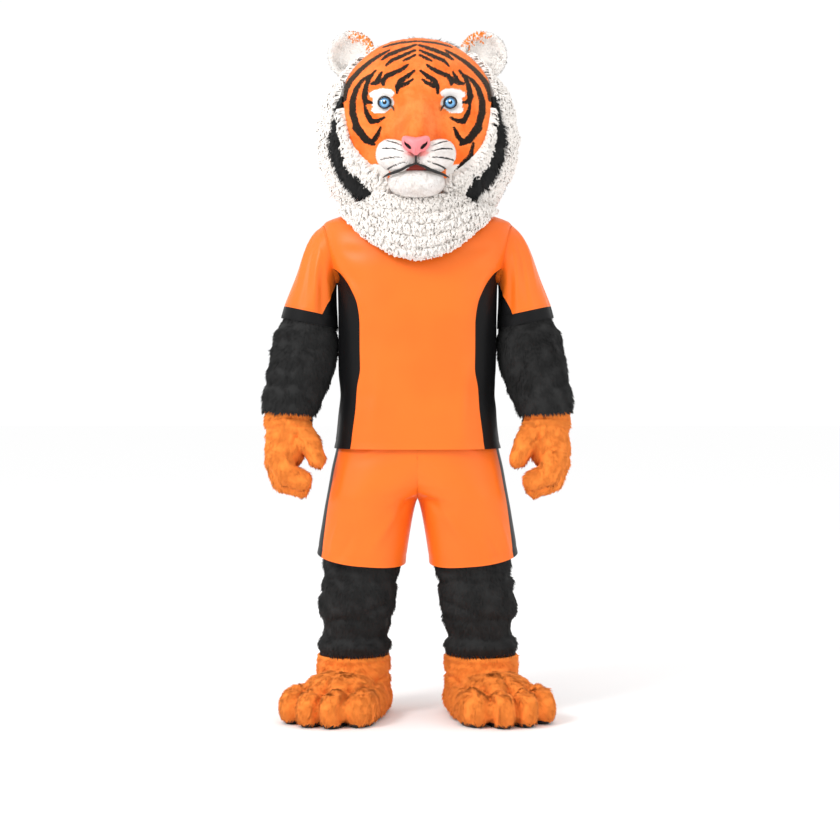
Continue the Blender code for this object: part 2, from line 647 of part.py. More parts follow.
def head_band(start, end, depth=-FACE_DEPTH):
    """The head's surface between two border columns; across runs from the first to the second."""

    def surface(across, height):
        first = smooth(HEAD_BORDERS, start, height) + SEAM_GAP / 2 if start else SEAM_GAP / 2 + 0 * height
        if end == "outline":
            last = smooth(HEAD_OUTLINE, "x", height)
        else:
            last = smooth(HEAD_BORDERS, end, height) - SEAM_GAP / 2
        x = first + np.maximum(last - first, 0.0006) * across
        return np.stack([x, head_depth(x, height, depth), height + 0 * x], -1)

    return surface


def head_form(name, spare):
    """The whole head's outer form as one closed body, grown a little, to cut what sits on it."""
    turn = np.linspace(0, 2 * pi, 48, endpoint=False)
    rise = np.sin(np.radians((4, 14, 25, 36, 47, 58, 68, 77, 84, 90)))
    ratio = np.concatenate([rise, rise[-2::-1]])
    facing = np.concatenate([-np.ones(9), [0], np.ones(9)])
    up = np.linspace(HEAD_OUTLINE["height"][0], HEAD_OUTLINE["height"][-1], 160)
    across = smooth(HEAD_OUTLINE, "x", up)
    angles = np.arctan2(up - FACE_HEIGHT, across)
    reach = np.interp(np.arctan2(np.sin(turn), np.abs(np.cos(turn))), angles,
        np.hypot(up - FACE_HEIGHT, across))
    length = ratio[:, None] * (reach + spare)
    x = length * np.cos(turn)
    z = FACE_HEIGHT + length * np.sin(turn)
    deep = np.where(facing < 0, FACE_DEPTH, BACK_DEPTH) + spare
    y = (facing * deep * (1 - ratio ** 2.4) ** 0.53)[:, None] + 0 * x
    points = np.stack([x, y, z], -1).reshape(-1, 3)
    index = np.arange(len(points)).reshape(x.shape)
    index = np.concatenate([index, index[:, :1]], axis=1)
    faces = np.stack([index[:-1, :-1], index[:-1, 1:], index[1:, 1:], index[1:, :-1]], -1).reshape(-1, 4)
    mesh = bpy.data.meshes.new(name)
    mesh.from_pydata(points.tolist(), [], faces.tolist())
    work = bmesh.new()
    work.from_mesh(mesh)
    bmesh.ops.holes_fill(work, edges=[edge for edge in work.edges if edge.is_boundary], sides=0)
    bmesh.ops.recalc_face_normals(work, faces=work.faces)
    work.to_mesh(mesh)
    work.free()
    return mesh


def ball_object(name, centre, radii, look, target, segments=14, rings=8):
    mesh = bpy.data.meshes.new(name)
    work = bmesh.new()
    place = Matrix.Translation(centre) @ Matrix.Diagonal((*radii, 1))
    bmesh.ops.create_uvsphere(work, u_segments=segments, v_segments=rings, radius=1, matrix=place)
    work.to_mesh(mesh)
    work.free()
    if look is None:
        return cutter(name, mesh, target)
    return add_object(name, mesh, look, target)


def ear(across, rise):
    """A cupped round ear, hollow side forward; rise runs from its middle to its rim."""
    x = 0.186 + 0.066 * rise * np.cos(across)
    z = 1.865 + 0.067 * rise * np.sin(across)
    return np.stack([x, 0.030 - 0.030 * rise ** 2, z], -1)


def bib_tier(low, high):
    """A rolled fur band across the chest from one hanging curve to the next."""
    rows = np.linspace(0, 1, len(BIB_EDGES["reach"]))

    def surface(across, fall):
        at = low + (high - low) * fall
        values = {key: smooth({"row": rows, key: BIB_EDGES[key]}, key, at, key="row") for key in BIB_EDGES}
        swing = across * pi / 2
        bulge = 0.006 * np.sin(pi * fall)
        x = (values["reach"] + bulge * 0.6) * np.sin(swing)
        z = values["end_height"] - values["drop"] * np.cos(swing) ** 2
        y = values["side_y"] - (values["depth"] + bulge) * np.maximum(np.cos(swing), 1e-9) ** 0.8
        return np.stack([x, y, z], -1)

    return surface


def build_head(target, tools):
    quarter = np.sin(np.linspace(0, pi / 2, 8))
    face_rows = np.array([1.503, 1.54, 1.572, 1.61, 1.66, 1.70, 1.74, 1.78, 1.82, 1.86, 1.89, 1.905,
        1.9095, 1.9116])
    shell_pair("face", head_band(None, "face"), quarter, face_rows, HEAD_WALL, ORANGE_FUR, target,
        keep=in_front)
    strip_rows = np.array([1.452, 1.475, 1.50, 1.54, 1.572, 1.61, 1.66, 1.70])
    ends = np.linspace(0, 1, 4)
    shell_pair("cheek_strip", head_band("face", "strip"), ends, strip_rows, HEAD_WALL, WHITE_FUR,
        target, keep=in_front)
    stripe_rows = np.array([1.452, 1.475, 1.50, 1.54, 1.572, 1.61, 1.66, 1.70, 1.735])
    shell_pair("ruff_stripe", head_band("strip", "stripe"), np.linspace(0, 1, 5), stripe_rows,
        RUFF_WALL, BLACK_FUR, target, keep=in_front)
    hood_rows = np.array([1.452, 1.475, 1.50, 1.54, 1.572, 1.61, 1.66, 1.70, 1.74, 1.78, 1.82, 1.86,
        1.89, 1.905])
    shell_pair("hood_front", head_band("stripe", "outline"), np.sin(np.linspace(0, pi / 2, 5)),
        hood_rows, HEAD_WALL, WHITE_FUR, target, keep=in_front)
    back_rows = np.concatenate([hood_rows, (1.9095, 1.9116)])
    shell_pair("hood_back", head_band(None, "outline", BACK_DEPTH), quarter, back_rows, HEAD_WALL,
        WHITE_FUR, target, keep=behind)
    for number in range(5):
        gap = 0.010
        tier = bib_tier(number / 5 + gap, (number + 1) / 5 - gap)
        shell(f"bib_tier_{number + 1}", tier, np.linspace(-1, 1, 13), (0, 0.3, 0.7, 1), BIB_WALL,
            WHITE_FUR, target)
    core = cutter("head_room", head_form("head_room", HEAD_SPARE), tools)
    nose_tool = ball_object("nose_room", (0, -0.300, 1.583), (0.0393, 0.0253, 0.0293), None, tools)
    chin_tool = ball_object("chin_room", (0, -0.212, 1.484), (0.0783, 0.0583, 0.0403), None, tools)
    for side, sign in (("left", 1), ("right", -1)):
        pad = ball_object("muzzle_" + side, (sign * 0.0535, -0.238, 1.556), (0.053, 0.060, 0.055),
            WHITE_FUR, target)
        cut(pad, core)
        cut(pad, nose_tool)
        cut(pad, chin_tool)
        eye = ball_object("eye_" + side, (sign * 0.0896, -0.190, 1.706), (0.0185, 0.012, 0.0165),
            EYE_GLOSS, target)
        cut(eye, core)
    mouth = ball_object("mouth_lining", (0, -0.236, 1.5235), (0.052, 0.030, 0.011), MOUTH_CLOTH, target)
    cut(mouth, core)
    cut(mouth, chin_tool)
    for side, sign in (("left", 1), ("right", -1)):
        room = ball_object("muzzle_room_" + side, (sign * 0.0535, -0.238, 1.556), (0.0536, 0.0606,
            0.0556), None, tools)
        cut(mouth, room)
    bridge = ball_object("nose_bridge", (0, -0.200, 1.632), (0.060, 0.098, 0.078), ORANGE_FUR, target)
    cut(bridge, core)
    cut(bridge, nose_tool)
    for side in ("left", "right"):
        cut(bridge, bpy.data.objects["muzzle_room_" + side])
    chin = ball_object("chin", (0, -0.212, 1.484), (0.078, 0.058, 0.040), WHITE_FUR, target)
    cut(chin, core)
    nose = ball_object("nose", (0, -0.300, 1.583), (0.039, 0.025, 0.029), PINK_RUBBER, target)
    cut(nose, core)
    turn = np.linspace(0, 2 * pi, 18, endpoint=False)
    shell_pair("ear", ear, turn, (0.12, 0.5, 0.8, 1.0), RUFF_WALL, WHITE_FUR, target, ring=True)
    for side in ("left", "right"):
        cut(bpy.data.objects["ear_" + side], core)


def main():
    for stale in list(bpy.data.objects):
        bpy.data.objects.remove(stale, do_unlink=True)
    target = collection(COLLECTION_NAME)
    tools = collection("cutters")
    build_jersey(target)
    build_shorts(target)
    build_suit(target, tools)
    build_gloves(target)
    build_paws(target)
    build_head(target, tools)


main()
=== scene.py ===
import bmesh
import bpy
import numpy as np
from bpy.props import FloatProperty, IntProperty, PointerProperty
from math import cos, pi, radians, sin
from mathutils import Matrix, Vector


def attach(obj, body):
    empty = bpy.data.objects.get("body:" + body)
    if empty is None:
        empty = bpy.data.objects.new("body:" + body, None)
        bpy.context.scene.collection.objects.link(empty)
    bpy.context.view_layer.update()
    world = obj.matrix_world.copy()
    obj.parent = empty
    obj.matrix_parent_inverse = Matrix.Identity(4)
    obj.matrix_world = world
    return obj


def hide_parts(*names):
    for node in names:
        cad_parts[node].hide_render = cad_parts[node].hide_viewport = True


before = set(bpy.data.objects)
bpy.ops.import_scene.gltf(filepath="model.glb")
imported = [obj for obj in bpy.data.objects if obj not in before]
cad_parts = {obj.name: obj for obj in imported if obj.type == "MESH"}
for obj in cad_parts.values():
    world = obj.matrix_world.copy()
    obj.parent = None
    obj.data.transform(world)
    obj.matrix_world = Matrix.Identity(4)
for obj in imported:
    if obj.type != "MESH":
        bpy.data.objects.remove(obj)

bl_info = {
    "name": "Tiger Mascot Costume",
    "version": (1, 0, 0),
    "blender": (4, 5, 0),
    "location": "View3D > Sidebar > Mascot",
    "description": "Builds the cloth, fur and head of a tiger mascot costume on its CAD frame",
    "category": "Object",
}

# ---- sizes shared with the part ----
# Heights in the tables are above the floor; add_mesh lowers every point by SHOULDER_HEIGHT.
SHOULDER_HEIGHT = 1.40
SEAM_GAP = 0.0003
PANEL_SCALE = 0.10
FACE_HEIGHT = 1.66
FACE_DEPTH = 0.205
BACK_DEPTH = 0.215
HEM_HEIGHT = 0.756
ARMHOLE_HEIGHT = 1.302
ARMHOLE_RISE = 0.086
ARMHOLE_REACH = 0.075
ARMHOLE_TIP = 1.262
SOLE_HEIGHT = 0.012
ANKLE_TOP = 0.168
FOOT_TURN = radians(19)
FOOT_PLACE = (0.182, 0.010)
NOSE_SHIFT = -0.004

TORSO = {
    "height": (
        0.756, 0.80, 0.866, 0.911, 0.965, 1.062, 1.127, 1.215, 1.266, 1.319, 1.36, 1.388, 1.42, 1.447, 1.47
    ),
    "half_width": (
        0.2355, 0.2295, 0.2235, 0.2175, 0.2205, 0.2222, 0.2240, 0.2262, 0.2460, 0.262, 0.2665, 0.2655,
        0.195, 0.150, 0.105,
    ),
    "front": (
        0.150, 0.147, 0.143, 0.140, 0.142, 0.148, 0.152, 0.150, 0.146, 0.136, 0.122, 0.105, 0.092, 0.085,
        0.080,
    ),
    "back": (
        0.150, 0.147, 0.142, 0.138, 0.136, 0.136, 0.138, 0.140, 0.140, 0.135, 0.122, 0.108, 0.100, 0.095,
        0.090,
    ),
    "square": (2.6, 2.6, 2.6, 2.6, 2.6, 2.6, 2.7, 2.9, 3.0, 3.0, 2.8, 2.6, 2.3, 2.2, 2.1),
}
SIDE_SEAM = {
    "height": (0.756, 0.803, 0.869, 0.926, 0.982, 1.039, 1.100, 1.160, 1.205, 1.245, 1.262),
    "x": (0.187, 0.1815, 0.173, 0.169, 0.160, 0.161, 0.161, 0.167, 0.184, 0.2135, 0.2380),
}
TROUSERS = {
    "height": (0.452, 0.49, 0.54, 0.59, 0.612, 0.65, 0.70, 0.756, 0.805),
    "side": (0.284, 0.279, 0.271, 0.263, 0.259, 0.252, 0.243, 0.2300, 0.2215),
    "inner": (0.034, 0.028, 0.019, 0.008, 0.0, -0.060, -0.150, -0.2300, -0.2215),
    "front": (0.124, 0.125, 0.127, 0.130, 0.134, 0.138, 0.140, 0.138, 0.132),
    "back": (0.124, 0.125, 0.128, 0.134, 0.140, 0.146, 0.148, 0.142, 0.132),
}
STRIPE_EDGES = {
    "height": (0.452, 0.60, 0.70, 0.805),
    "front_angle": (60.0, 66.0, 71.0, 76.0),
    "back_angle": (112.0, 108.0, 105.0, 101.0),
}
LEG = {
    "height": (0.180, 0.200, 0.224, 0.247, 0.284, 0.329, 0.414, 0.500, 0.5530),
    "side": (0.274, 0.281, 0.264, 0.263, 0.2795, 0.277, 0.2645, 0.257, 0.252),
    "inner": (0.086, 0.079, 0.092, 0.083, 0.068, 0.064, 0.051, 0.034, 0.022),
    "front": (0.094, 0.101, 0.088, 0.092, 0.105, 0.106, 0.106, 0.105, 0.108),
    "back": (0.094, 0.101, 0.088, 0.092, 0.105, 0.106, 0.108, 0.107, 0.108),
}
SLEEVE = {
    "outer_x": (0.2672, 0.294, 0.321, 0.346, 0.378, 0.3865),
    "outer_z": (1.3868, 1.360, 1.312, 1.240, 1.157, 1.1255),
    "inner_x": (0.2285, 0.2292, 0.2288, 0.2280, 0.2262, 0.2250),
    "inner_z": (1.217, 1.200, 1.178, 1.154, 1.124, 1.0925),
    "depth": (0.0755, 0.080, 0.083, 0.084, 0.083, 0.083),
    "lean": (0.0, 0.0, 0.0, -0.002, -0.004, -0.005),
}
ARM = {
    "outer_x": (0.240, 0.318, 0.370, 0.379, 0.402, 0.413, 0.4265, 0.434, 0.4365),
    "outer_z": (1.366, 1.285, 1.145, 1.114, 1.080, 1.020, 0.955, 0.905, 0.862),
    "inner_x": (0.234, 0.2345, 0.2340, 0.2330, 0.2270, 0.2330, 0.250, 0.268, 0.288),
    "inner_z": (1.242, 1.170, 1.105, 1.088, 1.060, 0.995, 0.942, 0.897, 0.852),
    "depth": (0.060, 0.068, 0.0745, 0.0775, 0.088, 0.091, 0.086, 0.082, 0.075),
    "lean": (0.0, -0.001, -0.004, -0.006, -0.008, -0.013, -0.020, -0.028, -0.036),
}
HEAD_OUTLINE = {
    "height": (1.42, 1.445, 1.488, 1.53, 1.57, 1.616, 1.68, 1.7435, 1.78, 1.82, 1.86, 1.89, 1.905, 1.912),
    "x": (0.186, 0.208, 0.237, 0.257, 0.270, 0.276, 0.268, 0.250, 0.226, 0.192, 0.150, 0.105, 0.062, 0.0),
}
HEAD_BORDERS = {
    "height": (
        1.437, 1.46, 1.50, 1.54, 1.572, 1.61, 1.66, 1.70, 1.74, 1.78, 1.82, 1.86, 1.89, 1.905, 1.9118
    ),
    "face": (
        0.060, 0.066, 0.078, 0.127, 0.160, 0.185, 0.197, 0.202, 0.204, 0.198, 0.178, 0.140, 0.095, 0.053,
        0.004,
    ),
    "strip": (
        0.118, 0.120, 0.146, 0.184, 0.196, 0.206, 0.2125, 0.2115, 0.2085, 0.199, 0.179, 0.141, 0.096, 0.054,
        0.005,
    ),
    "stripe": (
        0.136, 0.166, 0.202, 0.226, 0.237, 0.243, 0.233, 0.224, 0.214, 0.203, 0.180, 0.142, 0.097, 0.055,
        0.006,
    ),
}
BIB_EDGES = {
    "reach": (0.112, 0.150, 0.176, 0.194, 0.206, 0.213),
    "end_height": (1.443, 1.438, 1.434, 1.431, 1.428, 1.424),
    "drop": (0.012, 0.032, 0.058, 0.088, 0.117, 0.139),
    "side_y": (-0.100, -0.080, -0.060, -0.043, -0.027, -0.012),
    "depth": (0.100, 0.118, 0.138, 0.154, 0.165, 0.168),
}
THUMB = ((0.330, -0.062, 0.812, 0.034), (0.300, -0.082, 0.768, 0.031), (0.2815, -0.086, 0.729, 0.0255))
INDEX = ((0.385, -0.085, 0.726, 0.036), (0.366, -0.098, 0.686, 0.032), (0.321, -0.095, 0.668, 0.027))
MIDDLE = ((0.396, -0.050, 0.718, 0.034), (0.378, -0.052, 0.664, 0.031), (0.330, -0.055, 0.645, 0.0265))
LITTLE = ((0.398, -0.010, 0.722, 0.031), (0.384, -0.012, 0.672, 0.029), (0.340, -0.018, 0.645, 0.0255))
PALM = ((0.366, -0.038, 0.830, 0.056), (0.366, -0.040, 0.790, 0.061), (0.374, -0.045, 0.752, 0.057))
WRIST = ((0.362, -0.034, 0.865, 0.058), (0.364, -0.036, 0.832, 0.068))
TOES = ((-0.096, 0.185, 0.041), (-0.033, 0.225, 0.044), (0.033, 0.225, 0.044), (0.096, 0.190, 0.041))

# ---- folds listed one by one: a line from one point to another, its width and its height, metres ----
# Torso and shorts rows are (degrees round from the front, height); limbs are (degrees, share along).
FOLD_COLUMNS = ("from_turn", "from_rise", "to_turn", "to_rise", "width", "height")
TORSO_FOLDS = {
    "from_turn": (-58, 55, -46, 44, -30, 26, -76, 78, -84, 86, -12, 18, 150, -145, 120, -128, 165, -160),
    "from_rise": (
        1.27, 1.27, 1.31, 1.32, 0.80, 0.79, 1.15, 1.12, 0.90, 0.96, 1.28, 0.86, 1.25, 1.22, 1.12, 1.02,
        0.95, 0.84,
    ),
    "to_turn": (-38, 34, -24, 20, -22, 33, -78, 74, -80, 88, 10, -4, 132, -126, 124, -120, 140, -138),
    "to_rise": (
        1.16, 1.14, 1.30, 1.31, 1.02, 0.98, 0.86, 0.82, 0.77, 0.78, 1.25, 0.84, 1.14, 1.10, 0.86, 0.80,
        0.84, 0.78,
    ),
    "width": (
        0.016, 0.018, 0.020, 0.018, 0.026, 0.024, 0.010, 0.011, 0.012, 0.010, 0.03, 0.03, 0.02, 0.02, 0.018,
        0.02, 0.02, 0.02,
    ),
    "height": (
        0.0057, 0.0047, -0.0038, -0.0038, 0.0038, 0.0042, 0.0066, 0.0057, -0.0057, -0.0057, 0.0029, 0.0029,
        0.0057, 0.0057, -0.0038, 0.0047, 0.0057, -0.0038,
    ),
}
SLEEVE_FOLDS = {
    "from_turn": (20, 52, 78, 104, -40, -78, 130, 8, -110),
    "from_rise": (0.12, 0.16, 0.20, 0.28, 0.15, 0.2, 0.35, 0.40, 0.3),
    "to_turn": (46, 82, 108, 128, -62, -96, 150, 24, -130),
    "to_rise": (0.62, 0.74, 0.80, 0.86, 0.70, 0.8, 0.86, 0.95, 0.8),
    "width": (0.010, 0.009, 0.010, 0.009, 0.012, 0.012, 0.010, 0.012, 0.012),
    "height": (0.0047, -0.0041, 0.0054, -0.0034, 0.0041, -0.0041, 0.0041, -0.0027, 0.0041),
}
SHORTS_FOLDS = {
    "from_turn": (-66, -60, -54, -30, -20, 20, 42, 30, 120, 140, 155, 60),
    "from_rise": (0.70, 0.66, 0.62, 0.60, 0.74, 0.53, 0.56, 0.77, 0.70, 0.60, 0.74, 0.72),
    "to_turn": (-22, -16, -26, -2, 12, 34, 50, 44, 140, 150, 130, 48),
    "to_rise": (0.655, 0.61, 0.585, 0.50, 0.72, 0.465, 0.47, 0.74, 0.64, 0.47, 0.70, 0.60),
    "width": (0.010, 0.011, 0.010, 0.014, 0.014, 0.012, 0.010, 0.010, 0.014, 0.014, 0.014, 0.016),
    "height": (
        0.0053, 0.0053, -0.0045, 0.0045, 0.0037, -0.0045, 0.0045, 0.003, 0.0045, 0.0045, -0.0045, 0.003
    ),
}
LEG_FOLDS = {
    "from_turn": (-70, -20, 40, -60, 0, 70, 110, 140, -120, -100, 160, -150, 20),
    "from_rise": (0.43, 0.40, 0.44, 0.33, 0.29, 0.37, 0.30, 0.40, 0.42, 0.31, 0.27, 0.27, 0.21),
    "to_turn": (-25, 38, 95, -5, 55, 120, 150, -170, -80, -60, -150, -110, -40),
    "to_rise": (0.41, 0.43, 0.40, 0.30, 0.27, 0.33, 0.28, 0.37, 0.38, 0.27, 0.28, 0.25, 0.20),
    "width": (0.014, 0.013, 0.014, 0.012, 0.014, 0.014, 0.013, 0.014, 0.014, 0.012, 0.014, 0.013, 0.010),
    "height": (
        -0.009, -0.008, -0.009, -0.009, -0.008, -0.009, -0.008, -0.008, -0.009, -0.008, -0.008, -0.008,
        0.005,
    ),
}
ARM_FOLDS = {
    "from_turn": (30, 70, 40, 100, 20, 80, -60, -100, -40, -90, 130, -140),
    "from_rise": (0.50, 0.58, 0.66, 0.62, 0.78, 0.76, 0.55, 0.64, 0.74, 0.80, 0.72, 0.5),
    "to_turn": (95, 130, 92, 150, 78, 135, -10, -50, 10, -30, 165, -100),
    "to_rise": (0.55, 0.55, 0.70, 0.68, 0.80, 0.84, 0.60, 0.60, 0.78, 0.75, 0.78, 0.56),
    "width": (0.010, 0.010, 0.011, 0.010, 0.010, 0.010, 0.011, 0.011, 0.011, 0.010, 0.010, 0.011),
    "height": (
        -0.008, -0.007, -0.009, -0.008, -0.008, -0.007, -0.008, -0.008, -0.008, -0.007, -0.008, -0.007
    ),
}

# ---- head relief and marks: x and height from the middle of the face, millimetres ----
BRIDGE = {
    "height": (1.500, 1.530, 1.560, 1.585, 1.610, 1.640, 1.670, 1.700, 1.730, 1.770),
    "rise": (0.0, 0.020, 0.055, 0.084, 0.090, 0.080, 0.058, 0.036, 0.018, 0.004),
    "half": (0.050, 0.055, 0.058, 0.056, 0.054, 0.051, 0.048, 0.046, 0.046, 0.050),
}
RELIEF = {
    "x": (88, 90, 135, 118, 45, 100),
    "up": (82, 44, -30, 30, 108, 150),
    "wide": (40, 24, 48, 30, 34, 60),
    "tall": (20, 20, 50, 18, 34, 40),
    "rise": (9, -12, 6, 3, 4, 3),
}
# Each mark is a row of points: x, up, half width.
SHARED_MARKS = (
    ((4, 231, 1.2), (48, 228, 2.2), (72, 223, 2.0), (95, 217, 0.8)),
    ((5, 217, 1.4), (26, 208, 3.2), (50, 199, 4.2), (80, 187, 4.2), (98, 173, 1.0)),
    ((7, 198, 1.2), (28, 188, 2.8), (50, 177, 3.6), (72, 168, 3.2), (86, 153, 1.0)),
    ((6, 183, 1.2), (20, 175, 2.2), (38, 166, 1.0)),
    ((26, 153, 1.0), (40, 141, 3.2), (60, 131, 4.4), (84, 122, 4.8), (93, 110, 5.0), (93, 97, 1.8)),
    ((8, 135, 0.8), (26, 120, 3.8), (46, 106, 5.2), (54, 90, 4.6), (55, 71, 1.0)),
    ((13, 110, 0.8), (26, 99, 2.8), (40, 92, 3.0), (52, 88, 3.0)),
    ((98, 134, 0.6), (106, 118, 3.6), (110, 107, 6.0)),
    ((104, 105, 2.6), (114, 104, 5.0), (127, 102, 1.0)),
    ((115, 141, 0.8), (131, 121, 3.2), (141, 96, 4.6), (145, 68, 6.2), (143, 44, 1.6)),
    ((145, 60, 3.0), (136, 50, 3.4), (124, 48, 1.0)),
    (
        (133, 127, 1.0), (152, 115, 3.6), (168, 92, 5.2), (178, 58, 6.8), (178, 24, 7.4), (167, -14, 6.8),
        (145, -46, 6.0), (123, -64, 3.0),
    ),
    ((124, -62, 4.6), (110, -44, 4.2), (100, -22, 0.8)),
    ((170, -20, 6.0), (140, -54, 7.0), (118, -66, 2.0)),
    (
        (78, 203, 0.8), (104, 188, 3.0), (130, 172, 4.6), (158, 150, 5.6), (184, 122, 6.4), (200, 92, 6.4),
        (203, 66, 6.4),
    ),
    ((144, 40, 1.0), (139, 20, 4.0), (126, -4, 5.0), (110, -4, 3.4), (90, 5, 0.8)),
)
LEFT_MARKS = (
    ((153, -62, 1.0), (146, -98, 5.0), (128, -120, 8.0), (108, -140, 5.0), (92, -158, 1.0)),
)
WHITE_SPOTS = {
    "x": (97, 103, 94, 56, 118),
    "up": (71, 27, 46, -92, -142),
    "wide": (36, 24, 32, 46, 42),
    "tall": (15, 10, 22, 24, 24),
}
WHISKER_ROWS = (
    ((39, -81, 0.6), (59, -71, 1.3), (84, -62, 1.0)),
    ((33, -98, 0.6), (66, -88, 1.5), (96, -85, 1.2)),
    ((30, -112, 0.6), (66, -112, 1.4), (99, -114, 1.2)),
    ((26, -124, 0.5), (50, -130, 1.4), (86, -141, 1.3)),
)
NOSTRIL = ((30, -72, 0.8), (28, -78, 2.6), (22, -83, 4.2), (16, -89, 3.6), (13, -92, 1.0))

# ---- pile: roots in a square metre, metres, and shares ----
PILES = {
    "kind": ("black", "orange", "paw", "plush", "white", "lock", "ruff", "ear"),
    "roots": (60000, 64000, 60000, 78000, 36000, 30000, 66000, 50000),
    "length": (0.015, 0.013, 0.013, 0.0045, 0.018, 0.026, 0.022, 0.008),
    "width": (0.0054, 0.0046, 0.0046, 0.0028, 0.0078, 0.0102, 0.0052, 0.0066),
    "lift": (0.30, 0.22, 0.22, 0.22, 0.30, 0.26, 0.38, 0.24),
    "stray": (0.42, 0.30, 0.26, 0.16, 0.45, 0.45, 0.50, 0.25),
    "tuft": (0.016, 0.012, 0.012, 0.006, 0.018, 0.020, 0.014, 0.015),
    "clump": (0.55, 0.40, 0.34, 0.15, 0.55, 0.75, 0.50, 0.50),
}


# Places and sizes of the small parts, in metres; heights are from the floor and x is on the left side.
NECK_DIP_START, NECK_DIP_RISE = 1.388, 0.082
FRONT_NECK_DIP, BACK_NECK_DIP = 0.045, 0.018
SHOULDER_ROW = 1.47
HEM_STITCH = 0.020
THREAD_LIFT = 0.0002
SLEEVE_BAND_START = 0.8
SLEEVE_TUCK = -0.045
SHORTS_HEM, SHORTS_WAIST, CROTCH_FORK = 0.452, 0.805, 0.612
SHORTS_STITCH = 0.018
LEG_SCALE = 0.13
FUR_BACKING = 0.005
LEG_BOTTOM, LEG_TOP, LEG_SHOWS_BELOW = 0.180, 0.5530, 0.475
ARM_TUCK = -0.09
BAND_CLEAR = 0.012
PAW_WALL, PAW_VOXEL, GLOVE_VOXEL = 0.006, 0.0060, 0.0048
PAD_HEIGHT, PAD_RADII = 1.5525, (0.0545, 0.062, 0.044)
CHIN_CENTRE, CHIN_RADII = (NOSE_SHIFT / 2, -0.214, 1.487), (0.076, 0.060, 0.041)
MOUTH_CENTRE, MOUTH_RADII = (NOSE_SHIFT, -0.236, 1.5235), (0.052, 0.036, 0.012)
PAD_BACK = -0.205
NOSE_HEIGHT, NOSE_FRONT, NOSE_DOME = 1.580, -0.296, 0.024
EYE_X, EYE_HEIGHT, EYE_FRONT = 0.0896, 1.706, -0.2035
EYE_RADII, IRIS_RADIUS, PUPIL_RADIUS, GLINT_RADIUS = (0.0178, 0.0135, 0.0160), 0.0142, 0.0060, 0.0026
EAR_X, EAR_HEIGHT, EAR_REACH, EAR_TALL = 0.186, 1.865, 0.0655, 0.0665
HEAD_BOTTOM, HEAD_SHOULDER, HEAD_RISE = 1.452, 1.74, 0.1716
HOOD_TOP, CHEEK_TOP, RUFF_TOP = 1.905, 1.70, 1.735
BIB_TIERS, BIB_GAP, BIB_LIFT = 5, 0.010, 0.024
NO_INK = -9.0
# Rolls and creases on the back of the glove: from and to (x, z), half width, height.
GLOVE_ROLLS = (
    (0.290, 0.836, 0.352, 0.846, 0.005, -0.007),
    (0.352, 0.846, 0.430, 0.838, 0.005, -0.006),
    (0.300, 0.818, 0.350, 0.822, 0.004, -0.004),
    (0.372, 0.824, 0.425, 0.814, 0.004, -0.004),
    (0.338, 0.800, 0.346, 0.772, 0.005, -0.005),
    (0.318, 0.772, 0.338, 0.790, 0.0035, -0.006),
)
TOE_GROOVES = ((-0.066, 0.165, 0.010), (0.0, 0.150, 0.012), (0.066, 0.165, 0.010))
LIP_LINE = (
    (0.0, -0.282, 1.532),
    (0.022, -0.281, 1.524),
    (0.050, -0.268, 1.512),
    (0.074, -0.246, 1.506),
    (0.090, -0.222, 1.500),
)
LIP_RADII = (0.0024, 0.0034, 0.0042, 0.0036, 0.0012)
LIP_PARTING = ((0, -0.297, 1.560), (0, -0.292, 1.546), (0, -0.284, 1.532))
PARTING_RADII = (0.0018, 0.0022, 0.0030)
LOW_LIP = (
    ((2, -104, 1.2), (4, -132, 1.2)),
    ((2, -134, 3.0), (24, -144, 3.2), (54, -162, 3.0), (84, -163, 2.0)),
)


# ---- curves and fields ----
def smooth(table, column, at, key="height"):
    """A table column as a smooth curve: a cubic through each pair of rows, its slopes never overshooting."""
    x = np.asarray(table[key], float)
    y = np.asarray(table[column], float)
    step = np.diff(x)
    slope = np.diff(y) / step
    meet = np.where(
        slope[:-1] * slope[1:] > 0, 2 * slope[:-1] * slope[1:] / (slope[:-1] + slope[1:] + 1e-12), 0
    )
    tangent = np.concatenate([slope[:1], meet, slope[-1:]])
    at = np.clip(at, x[0], x[-1])
    i = np.clip(np.searchsorted(x, at, side="right") - 1, 0, len(step) - 1)
    t = (at - x[i]) / step[i]
    near = (1 + 2 * t) * (1 - t) ** 2 * y[i] + t * (1 - t) ** 2 * step[i] * tangent[i]
    far = t * t * (3 - 2 * t) * y[i + 1] + t * t * (t - 1) * step[i] * tangent[i + 1]
    return near + far


def by_row(table, column, at):
    """A column read by row number, scaled to 0..1 from the first row to the last."""
    numbered = {"row": np.linspace(0, 1, len(table[column])), column: table[column]}
    return smooth(numbered, column, at, key="row")


def power(value, square):
    """A signed power, which turns a circle's sine or cosine into a squarer ring's."""
    return np.sign(value) * np.abs(value) ** (2 / square)


def unit(vectors):
    """Each vector divided by its length."""
    return vectors / np.maximum(np.linalg.norm(vectors, axis=-1, keepdims=True), 1e-12)


def ramp(value, low, high):
    """0 below low, 1 above high and a smooth step between them."""
    t = np.clip((value - low) / (high - low), 0, 1)
    return t * t * (3 - 2 * t)


def ripple(points, wavelength, seed):
    """A smooth wandering vector at each point: sums of sines of the place along five seeded directions."""
    rng = np.random.default_rng(seed)
    waves = unit(rng.normal(size=(3, 5, 3))) * (2 * pi / wavelength) * rng.uniform(0.6, 1.5, (3, 5, 1))
    phase = rng.uniform(0, 2 * pi, (3, 5))
    return np.sin(np.einsum("nk,cwk->ncw", points, waves) + phase).sum(-1) / 2.2


